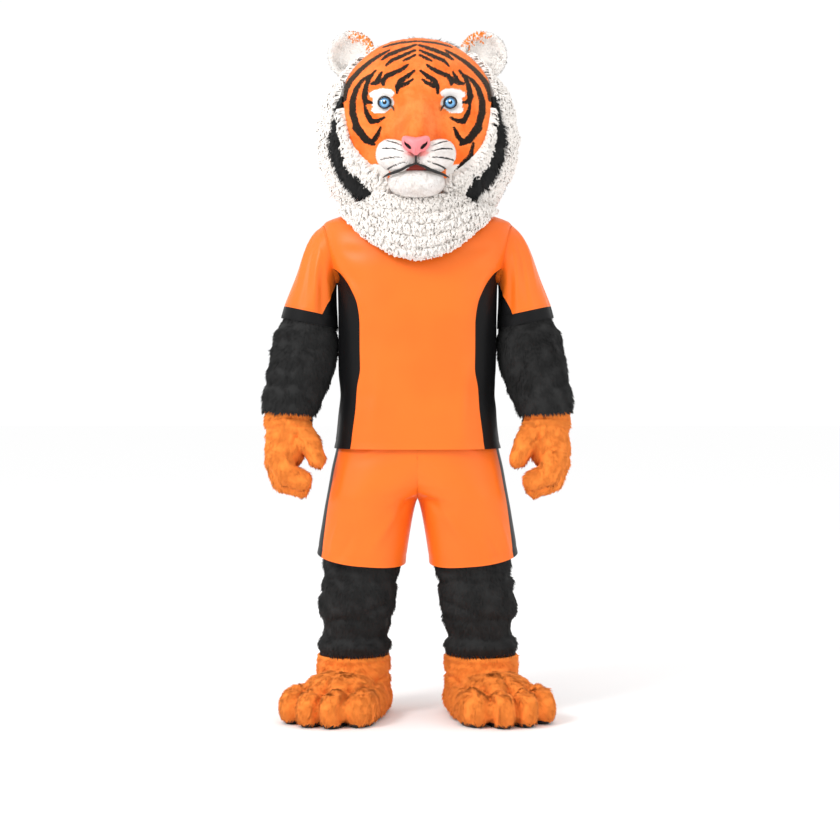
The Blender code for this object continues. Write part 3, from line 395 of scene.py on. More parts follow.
def fold_height(s, t, table, turn_scale):
    """Soft ridges and troughs: each row's height times a bell of the distance from its line, all added."""
    total = np.zeros(np.broadcast(s, t).shape)
    for row in zip(*(table[key] for key in FOLD_COLUMNS)):
        x0, y0, x1, y1, width, height = row
        x0, x1 = radians(x0) * turn_scale[0], radians(x1) * turn_scale[0]
        y0, y1 = y0 * turn_scale[1], y1 * turn_scale[1]
        dx, dy = x1 - x0, y1 - y0
        along = np.clip(((s - x0) * dx + (t - y0) * dy) / (dx * dx + dy * dy), 0, 1)
        off = np.hypot(s - x0 - along * dx, t - y0 - along * dy)
        total += height * np.exp(-((off / width) ** 2)) * (1 - 0.6 * (2 * along - 1) ** 2)
    return total


def wrapped(angle):
    """An angle brought into minus pi to pi."""
    return (angle + pi) % (2 * pi) - pi


def mark_depth(x, up, marks):
    """Depth inside the nearest mark, in millimetres: its half width less the distance to its line."""
    best = np.full(np.shape(x), -9.0)
    for mark in marks:
        for (x0, y0, w0), (x1, y1, w1) in zip(mark[:-1], mark[1:]):
            dx, dy = x1 - x0, y1 - y0
            along = np.clip(((x - x0) * dx + (up - y0) * dy) / (dx * dx + dy * dy), 0, 1)
            off = np.hypot(x - x0 - along * dx, up - y0 - along * dy)
            best = np.maximum(best, w0 + (w1 - w0) * along - off)
    return np.clip(best, -9, 9)


def face_marks(points):
    """Signed depth inside the black marks and share of white, for points of the face."""
    x = points[..., 0] * 1000
    up = (points[..., 2] - FACE_HEIGHT) * 1000
    ink = mark_depth(np.abs(x), up, SHARED_MARKS)
    ink = np.maximum(ink, mark_depth(x, up, LEFT_MARKS))
    white = np.zeros(x.shape)
    for cx, cy, wide, tall in zip(*(WHITE_SPOTS[key] for key in ("x", "up", "wide", "tall"))):
        away = np.hypot((np.abs(x) - cx) / wide, (up - cy) / tall)
        white = np.maximum(white, 1 - ramp(away, 0.82, 1.12))
    return ink + 2.8, white


# ---- meshes from whole arrays ----
def surface_normals(surface, u, v, nudge=1e-4):
    """Unit normals of a surface from its differences along both parameters."""
    along_u = surface(u + nudge, v) - surface(u - nudge, v)
    along_v = surface(u, v + nudge) - surface(u, v - nudge)
    return unit(np.cross(along_u, along_v))


def grid_faces(rows, columns, ring):
    """Four-sided faces between a grid's neighbours; a ring joins its last column to its first."""
    index = np.arange(rows * columns).reshape(rows, columns)
    if ring:
        index = np.concatenate([index, index[:, :1]], axis=1)
    return np.stack([index[:-1, :-1], index[:-1, 1:], index[1:, 1:], index[1:, :-1]], -1).reshape(-1, 4)


def triangles(faces):
    """Faces as triangles: each four-sided face cut along its first diagonal."""
    if faces.shape[1] == 3:
        return faces
    return np.concatenate([faces[:, :3], faces[:, [0, 2, 3]]])


def volume(points, faces):
    """Signed volume: the sum over the triangles of the box of their three corners, over six."""
    corners = points[triangles(faces)]
    return np.einsum("ni,ni->n", corners[:, 0], np.cross(corners[:, 1], corners[:, 2])).sum() / 6


def vertex_normals(points, faces):
    """Area-weighted normals: each triangle's cross product added to its three corners."""
    corners = triangles(faces)
    cross = np.cross(
        points[corners[:, 1]] - points[corners[:, 0]], points[corners[:, 2]] - points[corners[:, 0]]
    )
    total = np.stack(
        [
            np.bincount(corners.ravel(), np.repeat(cross[:, k], 3), minlength=len(points)) for k in range(3)
        ], -1
    )
    return unit(total)


class Skin:
    """An outer surface as arrays: points, faces, normals facing out and the way its pile is combed."""

    def __init__(self, points, faces, normals, comb, columns=0, ring=False):
        self.points, self.faces, self.normals, self.comb = points, faces, normals, comb
        self.columns, self.ring = columns, ring

    def mirrored(self):
        flip = np.array([-1.0, 1.0, 1.0])
        return Skin(
            self.points * flip,
            self.faces[:, ::-1],
            self.normals * flip,
            self.comb * flip,
            self.columns,
            self.ring,
        )

    def combed(self, comb):
        self.comb = unit(comb - (comb * self.normals).sum(-1, keepdims=True) * self.normals)
        return self


def skin_on(surface, u, v, ring=False, down=-1.0):
    """A skin on a surface of two parameters, sampled on a grid; the pile lies along the second one."""
    grid_v, grid_u = np.meshgrid(np.asarray(v, float), np.asarray(u, float), indexing="ij")
    points = surface(grid_u, grid_v)
    normal = surface_normals(surface, grid_u, grid_v)
    comb = unit(surface(grid_u, grid_v + 1e-4) - surface(grid_u, grid_v - 1e-4)) * down
    faces = grid_faces(*points.shape[:2], ring)
    middle = points.reshape(-1, 3).mean(axis=0)
    if ((points - middle) * normal).sum() < 0:
        normal = -normal
    columns = points.shape[1]
    points, normal, comb = (array.reshape(-1, 3) for array in (points, normal, comb))
    corner = points[faces[: len(faces) // 2 + 1]]
    turned = np.cross(corner[:, 1] - corner[:, 0], corner[:, 2] - corner[:, 0])
    if (turned * normal[faces[: len(faces) // 2 + 1, 0]]).sum() < 0:
        faces = faces[:, ::-1]
    return Skin(points, faces, normal, comb, columns, ring)


def wall_on(skin, thickness):
    """A closed wall: the skin, the same grid moved in by the thickness, and rims along its open edges."""
    shift = len(skin.points)
    index = np.arange(shift).reshape(-1, skin.columns)
    if skin.ring:
        index = np.concatenate([index, index[:, :1]], axis=1)
    edges = [(index[0, 1:], index[0, :-1]), (index[-1, :-1], index[-1, 1:])]
    if not skin.ring:
        edges += [(index[:-1, 0], index[1:, 0]), (index[1:, -1], index[:-1, -1])]
    rims = np.concatenate([np.stack([a, b, b + shift, a + shift], -1) for a, b in edges])
    points = np.concatenate([skin.points, skin.points - thickness * skin.normals])
    base = grid_faces(shift // skin.columns, skin.columns, skin.ring)
    if (skin.faces[0] != base[0]).any():
        rims = rims[:, ::-1]
    faces = np.concatenate([skin.faces, skin.faces[:, ::-1] + shift, rims])
    if volume(points - points.mean(axis=0), faces) < 0:
        faces = faces[:, ::-1]
    return points, faces


def pod(grid, start, end):
    """A closed body from rings between two end points: fans at the ends, strips between rings."""
    rows, columns = grid.shape[:2]
    points = np.concatenate([grid.reshape(-1, 3), [start], [end]])
    strips = triangles(grid_faces(rows, columns, True))
    turn = np.arange(columns)
    after = (turn + 1) % columns
    first = np.stack([after, turn, np.full(columns, rows * columns)], -1)
    last = np.stack([turn, after, np.full(columns, rows * columns + 1)], -1) + [
        (rows - 1) * columns, (rows - 1) * columns, 0
    ]
    faces = np.concatenate([strips, first, last])
    if volume(points - points.mean(axis=0), faces) < 0:
        faces = faces[:, ::-1]
    return points, faces


def ball(centre, radii, rings=14, segments=24):
    """A ball: the sine of the angle from the pole turned round it, and its cosine, times the radii."""
    tip = np.linspace(0, pi, rings + 2)[1:-1, None]
    turn = np.linspace(0, 2 * pi, segments, endpoint=False)[None]
    grid = np.stack([np.sin(tip) * np.cos(turn), np.sin(tip) * np.sin(turn), np.cos(tip) + 0 * turn], -1)
    centre = np.asarray(centre, float)
    radii = np.asarray(radii, float)
    return pod(centre + grid * radii, centre + (0, 0, radii[2]), centre - (0, 0, radii[2]))


def joined(bodies):
    """Several closed bodies as one pair of arrays."""
    starts = np.cumsum([0] + [len(points) for points, _ in bodies[:-1]])
    faces = [triangles(faces) + start for (_, faces), start in zip(bodies, starts)]
    return np.concatenate([points for points, _ in bodies]), np.concatenate(faces)


def add_mesh(name, points, faces, look, values=None, normals=None):
    """Adds arrays as an object at the origin, every point lowered to the shoulder origin."""
    mesh = bpy.data.meshes.new(name)
    placed = np.asarray(points, np.float32) - np.array([0, 0, SHOULDER_HEIGHT], np.float32)
    faces = np.ascontiguousarray(faces, np.int32)
    mesh.vertices.add(len(placed))
    mesh.vertices.foreach_set("co", placed.ravel())
    mesh.loops.add(faces.size)
    mesh.loops.foreach_set("vertex_index", faces.ravel())
    mesh.polygons.add(len(faces))
    mesh.polygons.foreach_set("loop_start", np.arange(0, faces.size, faces.shape[1], dtype=np.int32))
    mesh.update(calc_edges=True)
    mesh.validate()
    mesh.shade_smooth()
    for key, value in (values or {}).items():
        mesh.attributes.new(key, "FLOAT", "POINT").data.foreach_set(
            "value", np.asarray(value, np.float32).ravel()
        )
    if normals is not None:
        mesh.normals_split_custom_set_from_vertices(unit(normals).tolist())
    elif len(mesh.polygons) < 200000:
        mesh.set_sharp_from_angle(angle=radians(50))
    mesh.materials.append(look)
    made = bpy.data.objects.new(name, mesh)
    bpy.context.scene.collection.objects.link(made)
    return made


def place(made, slot, *nodes):
    """Fixes a piece to the frame and hides the CAD solids that it stands for; the slot is not used."""
    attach(made, "root")
    if nodes:
        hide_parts(*nodes)
    return made


# ---- pile: closed spikes, each a three-sided root and a tip ----
def roots_on(skin, per_area, rng, keep=None):
    """Evenly spread places on a skin: steps of equal area along its triangles, each nudged at random."""
    corners = triangles(skin.faces)
    a, b, c = (skin.points[corners[:, k]] for k in range(3))
    area = np.linalg.norm(np.cross(b - a, c - a), axis=-1) / 2
    order = rng.permutation(len(area))
    count = int(area.sum() * per_area)
    reach = np.cumsum(area[order])
    pick = order[
        np.clip(
            np.searchsorted(reach, (np.arange(count) + rng.random(count)) / count * reach[-1]),
            0,
            len(area) - 1,
        )
    ]
    u, v = rng.random((2, count))
    over = u + v > 1
    u[over], v[over] = 1 - u[over], 1 - v[over]
    weights = np.stack([1 - u - v, u, v], -1)[..., None]
    root = (skin.points[corners[pick]] * weights).sum(1)
    normal = unit((skin.normals[corners[pick]] * weights).sum(1))
    comb = unit((skin.comb[corners[pick]] * weights).sum(1))
    if keep is not None:
        kept = keep(root)
        root, normal, comb = root[kept], normal[kept], comb[kept]
    return root, normal, comb


def add_pile(fur, name, skin, kind, seed, look, slot, marks=None, keep=None, grow=1.0, curl=0.0, sag=0.0):
    """A fur pile over a skin. Each hair tuft is a closed spike: its root is a small triangle just under the
    skin, its tip is the root moved by the length along a mix of the normal, the comb and a smooth wander,
    drawn towards the mean tip of the tufts in its cell. Curled piles have a second triangle half way."""
    spec = {key: PILES[key][PILES["kind"].index(kind)] for key in PILES}
    seed = seed + fur.seed
    rng = np.random.default_rng(seed)
    root, normal, comb = roots_on(skin, spec["roots"] * fur.density, rng, keep)
    count = len(root)
    wander = ripple(
        root, spec["tuft"] * 3.2, seed
    ) * spec["stray"] + rng.normal(size=(count, 3)) * spec["stray"] * 0.35
    length = spec["length"] * grow * fur.length * rng.uniform(0.7, 1.25, count)[:, None]
    lean = unit(comb + wander)
    way = unit(normal * spec["lift"] + lean * (1 - spec["lift"]) + (0, 0, -sag))
    tip = root + way * length
    cell = np.floor(
        (root + ripple(root, spec["tuft"] * 2.4, seed + 1) * spec["tuft"] * 0.4) / spec["tuft"]
    ).astype(int)
    _, group = np.unique(cell, axis=0, return_inverse=True)
    group = group.reshape(-1)
    size = np.bincount(group)[:, None]
    mean = np.stack([np.bincount(group, tip[:, k]) for k in range(3)], -1) / size
    tip = tip + (mean[group] - tip) * spec["clump"] * 0.5
    side = unit(np.cross(way, normal))
    width = spec["width"] * fur.width * rng.uniform(0.75, 1.25, count)[:, None]
    sunk = root - normal * 0.0015
    bend = unit(normal * (spec["lift"] + 0.45) + lean * 0.6) if curl else way
    ring = [
        sunk + side * width / 2, sunk - side * width / 2, sunk + unit(np.cross(side, bend)) * width * 0.4
    ]
    steps = [np.stack(ring, 1)]
    if curl:
        middle = root + bend * length * 0.55 + side * ripple(
            root, 0.012, seed + 2
        )[:, :1] * length * curl * 0.3
        tip = tip - normal * length * curl * 0.25 + side * rng.normal(
            size=(count, 1)
        ) * length * curl * 0.35
        across = unit(np.cross(tip - middle, normal))
        lift = unit(np.cross(across, tip - middle))
        ring = [
            middle + across * width * 0.42, middle - across * width * 0.42, middle + lift * width * 0.28
        ]
        steps.append(np.stack(ring, 1))
    points = np.concatenate([*steps, tip[:, None]], 1)
    points[..., 2] = np.maximum(points[..., 2], 0.001)
    per = points.shape[1]
    shape = [(0, 2, 1)]
    for k in range(0, per - 4, 3):
        shape += [
            (k, k + 1, k + 4), (k, k + 4, k + 3), (k + 1, k + 2, k + 5), (k + 1, k + 5, k + 4),
            (k + 2, k, k + 3), (k + 2, k + 3, k + 5),
        ]
    end = per - 4
    shape += [(end, end + 1, end + 3), (end + 1, end + 2, end + 3), (end + 2, end, end + 3)]
    faces = np.array(shape)[None] + (np.arange(count) * per)[:, None, None]
    corners = (points - root[:, None])[:, np.array(shape)]
    facing = np.einsum("nfi,nfi->n", corners[:, :, 0], np.cross(corners[:, :, 1], corners[:, :, 2])) < 0
    faces[facing] = faces[facing][:, :, ::-1]
    rise = np.concatenate([np.repeat(k / (len(steps)), 3) for k in range(len(steps))] + [[1.0]])
    toned = np.clip(
        rng.normal(0.5, 0.2, count) + ripple(root, spec["tuft"] * 5, seed + 3)[:, 0] * 0.22, 0, 1
    )
    values = {"pile": np.tile(rise, count), "tone": np.repeat(toned, per)}
    if marks:
        for key, value in zip(("ink", "white"), marks(root)):
            values[key] = np.repeat(value, per)
    soft = normal[:, None] + (rise[None, :, None] * 0.55) * unit(way + normal * 0.4)[:, None]
    soft = soft + (
        ripple(root, spec["tuft"] * 1.8, seed + 4) * 0.22 + rng.normal(size=(count, 3)) * 0.10
    )[:, None]
    made = add_mesh(
        name,
        points.reshape(-1, 3),
        faces.reshape(-1, 3),
        look,
        values,
        None if curl else soft.reshape(-1, 3),
    )
    return place(made, slot)


# ---- materials ----
def new_group(name, inputs, outputs):
    """An empty shader node group with these inputs and outputs, and its two end nodes."""
    tree = bpy.data.node_groups.new(name, "ShaderNodeTree")
    for label, kind, default in inputs:
        socket = tree.interface.new_socket(label, in_out="INPUT", socket_type=kind)
        socket.default_value = default
    for label, kind in outputs:
        tree.interface.new_socket(label, in_out="OUTPUT", socket_type=kind)
    return tree, tree.nodes.new("NodeGroupInput"), tree.nodes.new("NodeGroupOutput")


def mix_colour(tree, factor, first, second, mode="MIX"):
    """A colour mix node; each argument is a socket or a plain value."""
    node = tree.nodes.new("ShaderNodeMix")
    node.data_type = "RGBA"
    node.blend_type = mode
    for socket, value in zip((node.inputs[0], node.inputs[6], node.inputs[7]), (factor, first, second)):
        if isinstance(value, bpy.types.NodeSocket):
            tree.links.new(value, socket)
        else:
            socket.default_value = value
    return node.outputs[2]


def remap(tree, value, low, high, to_low=0.0, to_high=1.0, kind="SMOOTHSTEP"):
    """A map range node: the value carried from one span to another, smoothly or in a straight line."""
    node = tree.nodes.new("ShaderNodeMapRange")
    node.interpolation_type = kind
    for socket, number in zip(node.inputs[1:5], (low, high, to_low, to_high)):
        if isinstance(number, bpy.types.NodeSocket):
            tree.links.new(number, socket)
        else:
            socket.default_value = number
    tree.links.new(value, node.inputs[0])
    return node.outputs[0]


def arithmetic(tree, operation, first, second):
    """A maths node; each value is a socket or a plain number."""
    node = tree.nodes.new("ShaderNodeMath")
    node.operation = operation
    for socket, value in zip(node.inputs, (first, second)):
        if isinstance(value, bpy.types.NodeSocket):
            tree.links.new(value, socket)
        else:
            socket.default_value = value
    return node.outputs[0]


def noise(tree, scale, detail=3.0, roughness=0.6, stretch=(1.0, 1.0, 1.0)):
    """Noise on object coordinates, stretched along an axis where asked."""
    place_node = tree.nodes.new("ShaderNodeTexCoord")
    turn = tree.nodes.new("ShaderNodeMapping")
    turn.inputs["Scale"].default_value = stretch
    tree.links.new(place_node.outputs["Object"], turn.inputs["Vector"])
    node = tree.nodes.new("ShaderNodeTexNoise")
    tree.links.new(turn.outputs["Vector"], node.inputs["Vector"])
    if isinstance(scale, bpy.types.NodeSocket):
        tree.links.new(scale, node.inputs["Scale"])
    else:
        node.inputs["Scale"].default_value = scale
    node.inputs["Detail"].default_value = detail
    node.inputs["Roughness"].default_value = roughness
    return node.outputs["Fac"]


def attribute(tree, name):
    """A named attribute of the piece, as a number."""
    node = tree.nodes.new("ShaderNodeAttribute")
    node.attribute_name = name
    return node.outputs["Fac"]


def pile_group():
    """Fur colour: a painted root shade low in the pile, for the shade between the tufts, to the tip colour
    up the pile, drawn to the deep colour by each tuft's tone.
    """
    tree, start, end = new_group(
        "Fur Pile",
        (
            ("Root Color", "NodeSocketColor", (0, 0, 0, 1)),
            ("Tip Color", "NodeSocketColor", (1, 1, 1, 1)),
            ("Deep Color", "NodeSocketColor", (0.5, 0.5, 0.5, 1)),
            ("Patch Scale", "NodeSocketFloat", 9.0),
        ),
        (("Color", "NodeSocketColor"), ("Height", "NodeSocketFloat")),
    )
    patch = remap(tree, noise(tree, start.outputs["Patch Scale"]), 0.35, 0.68)
    deep = mix_colour(tree, patch, start.outputs["Tip Color"], start.outputs["Deep Color"])
    toned = remap(tree, attribute(tree, "tone"), 0.0, 1.0, 0.0, 0.55)
    tip = mix_colour(tree, toned, deep, start.outputs["Deep Color"])
    # Painted shade: the pile value takes the colour from the dark root shade to the tip; a piece with no
    # pile value shows the root shade all over.
    up = remap(tree, attribute(tree, "pile"), 0.0, 0.85)
    tree.links.new(mix_colour(tree, up, start.outputs["Root Color"], tip), end.inputs["Color"])
    tree.links.new(noise(tree, 420.0, 4.0, 0.7), end.inputs["Height"])
    return tree


def weave_group():
    """Woven polyester: fine crossed threads as a height and a faint change of colour."""
    tree, start, end = new_group(
        "Woven Cloth",
        (
            ("Color", "NodeSocketColor", (1, 1, 1, 1)),
            ("Deep Color", "NodeSocketColor", (1, 1, 1, 1)),
            ("Thread Scale", "NodeSocketFloat", 900.0),
        ),
        (("Color", "NodeSocketColor"), ("Height", "NodeSocketFloat")),
    )
    broad = remap(tree, noise(tree, 5.0, 2.0, 0.5), 0.3, 0.7)
    fine = noise(tree, start.outputs["Thread Scale"], 2.0, 0.5, (1.0, 1.0, 0.5))
    tree.links.new(
        mix_colour(
            tree,
            arithmetic(tree, "MULTIPLY", broad, 0.6),
            start.outputs["Color"],
            start.outputs["Deep Color"],
        ),
        end.inputs["Color"],
    )
    tree.links.new(fine, end.inputs["Height"])
    return tree


def marks_group():
    """Painted face: base colour, then white where marked, then black inside the marks with a frayed edge."""
    tree, start, end = new_group(
        "Face Marks",
        (
            ("Base Color", "NodeSocketColor", (1, 1, 1, 1)),
            ("White Color", "NodeSocketColor", (1, 1, 1, 1)),
            ("Ink Color", "NodeSocketColor", (0, 0, 0, 1)),
            ("Fray", "NodeSocketFloat", 1.0),
        ),
        (("Color", "NodeSocketColor"),),
    )
    rough = remap(tree, noise(tree, 160.0, 3.0, 0.6), 0.3, 0.7, -1.0, 1.0)
    frayed = arithmetic(
        tree, "ADD", attribute(tree, "ink"), arithmetic(tree, "MULTIPLY", rough, start.outputs["Fray"])
    )
    white = remap(
        tree,
        arithmetic(tree, "ADD", attribute(tree, "white"), arithmetic(tree, "MULTIPLY", rough, 0.12)),
        0.3,
        0.75,
    )
    pale = mix_colour(tree, white, start.outputs["Base Color"], start.outputs["White Color"])
    ink = remap(tree, frayed, -0.5, 0.6)
    tree.links.new(mix_colour(tree, ink, pale, start.outputs["Ink Color"]), end.inputs["Color"])
    return tree


def new_material(name, roughness, sheen=0.0, tint=(1, 1, 1), specular=0.5, sheen_rough=0.5):
    """A material with one principled shader, its sheen and its specular level set."""
    made = bpy.data.materials.new(name)
    made.use_nodes = True
    shader = made.node_tree.nodes["Principled BSDF"]
    shader.inputs["Roughness"].default_value = roughness
    shader.inputs["Sheen Weight"].default_value = sheen
    shader.inputs["Sheen Tint"].default_value = (*tint, 1)
    shader.inputs["Sheen Roughness"].default_value = sheen_rough
    shader.inputs["Specular IOR Level"].default_value = specular
    return made, made.node_tree, shader


def use_group(tree, group, values):
    """A node that holds a group, with its inputs set."""
    node = tree.nodes.new("ShaderNodeGroup")
    node.node_tree = group
    for key, value in values.items():
        node.inputs[key].default_value = value
    return node


def bumped(tree, shader, height, distance, strength):
    """A bump node from a height to the shader."""
    node = tree.nodes.new("ShaderNodeBump")
    node.inputs["Distance"].default_value = distance
    node.inputs["Strength"].default_value = strength
    tree.links.new(height, node.inputs["Height"])
    tree.links.new(node.outputs["Normal"], shader.inputs["Normal"])


# Each fur's first colour is its painted root shade, the dark low in the pile between the tufts; then come
# the tip and deep colours, the patch scale, the sheen tint, the sheen and the specular level.
FUR_LOOKS = {
    "orange_fur": (
        (1.0, 0.17, 0.014, 1), (1.0, 0.35, 0.105, 1), (1.0, 0.215, 0.028, 1), 11.0, (1.0, 0.5, 0.25), 0.16,
        0.12,
    ),
    "black_fur": (
        (0.0004, 0.0004, 0.0005, 1), (0.0026, 0.0026, 0.0030, 1), (0.0008, 0.0008, 0.0010, 1), 14.0,
        (0.55, 0.56, 0.62), 0.0, 0.015,
    ),
    "white_fur": (
        (0.70, 0.63, 0.58, 1), (0.86, 0.84, 0.82, 1), (0.79, 0.75, 0.715, 1), 22.0, (1.0, 0.97, 0.94), 0.15,
        0.12,
    ),
}
CLOTH_LOOKS = {
    "orange_jersey": (
        (0.90, 0.168, 0.012, 1), (0.90, 0.140, 0.008, 1), 0.42, (1.0, 0.62, 0.35), 0.20, 0.32
    ),
    "black_jersey": (
        (0.0055, 0.0055, 0.0060, 1), (0.0042, 0.0042, 0.0046, 1), 0.42, (0.6, 0.6, 0.62), 0.008, 0.14
    ),
    "black_band": (
        (0.0060, 0.0060, 0.0065, 1), (0.0048, 0.0048, 0.0052, 1), 0.50, (0.6, 0.6, 0.62), 0.008, 0.14
    ),
    "orange_thread": ((0.70, 0.10, 0.007, 1), (0.70, 0.09, 0.006, 1), 0.35, (1.0, 0.62, 0.35), 0.30, 0.5),
}


def make_materials():
    """Every material by name: fur, cloth, painted face, rubber and eyes."""
    looks = {}
    pile, weave, marks = pile_group(), weave_group(), marks_group()
    for name, (root, tip, deep, patch, tint, sheen, specular) in FUR_LOOKS.items():
        made, tree, shader = new_material(name, 0.75, sheen, tint, specular, 0.6)
        node = use_group(
            tree, pile, {"Root Color": root, "Tip Color": tip, "Deep Color": deep, "Patch Scale": patch}
        )
        tree.links.new(node.outputs["Color"], shader.inputs["Base Color"])
        bumped(tree, shader, node.outputs["Height"], 0.004, 0.5)
        looks[name] = made
    for name, (colour, deep, rough, tint, sheen, specular) in CLOTH_LOOKS.items():
        made, tree, shader = new_material(name, rough, sheen, tint, specular, 0.35)
        node = use_group(tree, weave, {"Color": colour, "Deep Color": deep})
        tree.links.new(node.outputs["Color"], shader.inputs["Base Color"])
        bumped(tree, shader, node.outputs["Height"], 0.0006, 0.25)
        looks[name] = made
    made, tree, shader = new_material("face_fur", 0.8, 0.2, (1.0, 0.7, 0.5), 0.1, 0.6)
    # The first colour is the painted root shade, the dark low in the plush.
    root, tip, deep = (1.0, 0.14, 0.012, 1), (1.0, 0.27, 0.060, 1), (1.0, 0.155, 0.015, 1)
    fur = use_group(
        tree, pile, {"Root Color": root, "Tip Color": tip, "Deep Color": deep, "Patch Scale": 16.0}
    )
    node = use_group(
        tree,
        marks,
        {"White Color": (0.88, 0.85, 0.82, 1), "Ink Color": (0.003, 0.003, 0.003, 1), "Fray": 0.9},
    )
    tree.links.new(fur.outputs["Color"], node.inputs["Base Color"])
    tree.links.new(node.outputs["Color"], shader.inputs["Base Color"])
    bumped(tree, shader, fur.outputs["Height"], 0.003, 0.35)
    looks["face_fur"] = made
    made, tree, shader = new_material("muzzle_fur", 0.8, 0.15, (1.0, 0.95, 0.9), 0.1, 0.6)
    # The first colour is the painted root shade, the dark low in the plush.
    root, tip, deep = (0.70, 0.62, 0.56, 1), (0.91, 0.88, 0.86, 1), (0.82, 0.76, 0.72, 1)
    fur = use_group(
        tree, pile, {"Root Color": root, "Tip Color": tip, "Deep Color": deep, "Patch Scale": 25.0}
    )
    node = use_group(
        tree,
        marks,
        {"White Color": (0.90, 0.42, 0.38, 1), "Ink Color": (0.012, 0.010, 0.010, 1), "Fray": 0.5},
    )
    tree.links.new(fur.outputs["Color"], node.inputs["Base Color"])
    tree.links.new(node.outputs["Color"], shader.inputs["Base Color"])
    bumped(tree, shader, fur.outputs["Height"], 0.003, 0.3)
    looks["muzzle_fur"] = made
    made, tree, shader = new_material("nose_rubber", 0.42, 0.0, (1, 1, 1), 0.5)
    node = use_group(
        tree,
        marks,
        {
            "Base Color": (0.87, 0.235, 0.255, 1),
            "White Color": (0.42, 0.30, 0.30, 1),
            "Ink Color": (0.010, 0.004, 0.004, 1),
            "Fray": 0.1,
        },
    )
    tree.links.new(node.outputs["Color"], shader.inputs["Base Color"])
    bumped(tree, shader, noise(tree, 900.0, 2.0, 0.6), 0.0008, 0.25)
    looks["nose_rubber"] = made
    plain = {
        "mouth_cloth": ((0.17, 0.012, 0.003, 1), 0.7),
        "black_lip": ((0.004, 0.0035, 0.0035, 1), 0.5),
        "sole_rubber": ((0.006, 0.006, 0.006, 1), 0.65),
        "eye_black": ((0.0025, 0.0022, 0.002, 1), 0.25),
        # a plain white for the glint disc, a painted highlight
        "eye_glint": ((1.0, 1.0, 1.0, 1), 0.2),
    }
    for name, (colour, rough) in plain.items():
        made, tree, shader = new_material(name, rough)
        shader.inputs["Base Color"].default_value = colour
        bumped(tree, shader, noise(tree, 500.0, 2.0, 0.6), 0.0005, 0.15)
        looks[name] = made
    made, tree, shader = new_material("eye_iris", 0.12, 0.0, (1, 1, 1), 0.6)
    shader.inputs["Coat Weight"].default_value = 0.6
    rim = remap(tree, attribute(tree, "ring"), 0.55, 1.0)
    streak = remap(tree, noise(tree, 260.0, 3.0, 0.6), 0.3, 0.7, 0.0, 0.6)
    blue = mix_colour(tree, streak, (0.10, 0.36, 0.68, 1), (0.26, 0.58, 0.86, 1))
    tree.links.new(mix_colour(tree, rim, blue, (0.02, 0.13, 0.32, 1)), shader.inputs["Base Color"])
    looks["eye_iris"] = made
    return looks


# ---- jersey ----
def torso(angle, height):
    """A squared ring at each height; angle 0 is the front, a quarter turn is the +X side."""
    square = smooth(TORSO, "square", height)
    half_width = smooth(TORSO, "half_width", height)
    facing = np.cos(angle)
    deep = np.where(facing > 0, smooth(TORSO, "front", height), smooth(TORSO, "back", height))
    x = half_width * power(np.sin(angle), square)
    return np.stack([x, -deep * power(facing, square), height + 0 * x], -1)


def armhole_reach(height):
    """Half the armhole's front-to-back size at a height: the half chord of an oval."""
    rise = np.clip((height - ARMHOLE_HEIGHT) / ARMHOLE_RISE, -1, 1)
    return ARMHOLE_REACH * np.sqrt(1 - rise * rise)


def edge_angle(height, side):
    """The angle where a body panel ends: at the side seam, then the armhole, then the shoulder."""
    square = smooth(TORSO, "square", height)
    half_width = smooth(TORSO, "half_width", height)
    seam = np.arcsin(np.clip(smooth(SIDE_SEAM, "x", height) / half_width, 0, 1) ** (square / 2))
    deep = smooth(TORSO, side, height)
    hole = np.arccos(np.clip(armhole_reach(height) / deep, 0, 1) ** (square / 2))
    return np.where(height < ARMHOLE_TIP, seam, hole)


def hem_line(height, low, stitch):
    """A hem's shape: a faint roll below the stitching and a thin trough along it."""
    above = height - low
    return 0.0010 * np.exp(-((above / 0.008) ** 2)) - 0.0009 * np.exp(-(((above - stitch) / 0.0022) ** 2))


def draped_torso(angle, height, share=1.0):
    """The torso ring moved out along its normal by the listed folds and the hem's shape."""
    push = share * fold_height(
        wrapped(angle) * 0.2, height, TORSO_FOLDS, (0.2, 1.0)
    ) + hem_line(height, HEM_HEIGHT, HEM_STITCH)
    return torso(angle, height) + surface_normals(torso, angle, height) * push[..., None]


def body_panel(side, dip, share=1.0):
    """Front or back: across runs from one seam to the other, the neckline dips at the centre."""

    def surface(across, height):
        angle = across * (edge_angle(height, side) - SEAM_GAP / PANEL_SCALE)
        points = draped_torso(angle if side == "front" else pi - angle, height, share)
        points[..., 2] -= dip * np.cos(angle) ** 2 * np.clip(
            (height - NECK_DIP_START) / NECK_DIP_RISE, 0, 1
        )
        return points

    return surface


def side_panel(sign):
    """From the hem up to the underarm curve, between the front and the back seam."""

    def surface(across, rise):
        forward = ARMHOLE_REACH * 0.885 * (1 - 2 * across)
        top = ARMHOLE_HEIGHT - ARMHOLE_RISE * np.sqrt(1 - (forward / ARMHOLE_REACH) ** 2)
        height = HEM_HEIGHT + rise * (top - SEAM_GAP - HEM_HEIGHT)
        low = edge_angle(np.minimum(height, ARMHOLE_TIP - 1e-6), "front") + SEAM_GAP / PANEL_SCALE
        return draped_torso(sign * (low + across * (pi - 2 * low)), height)

    return surface


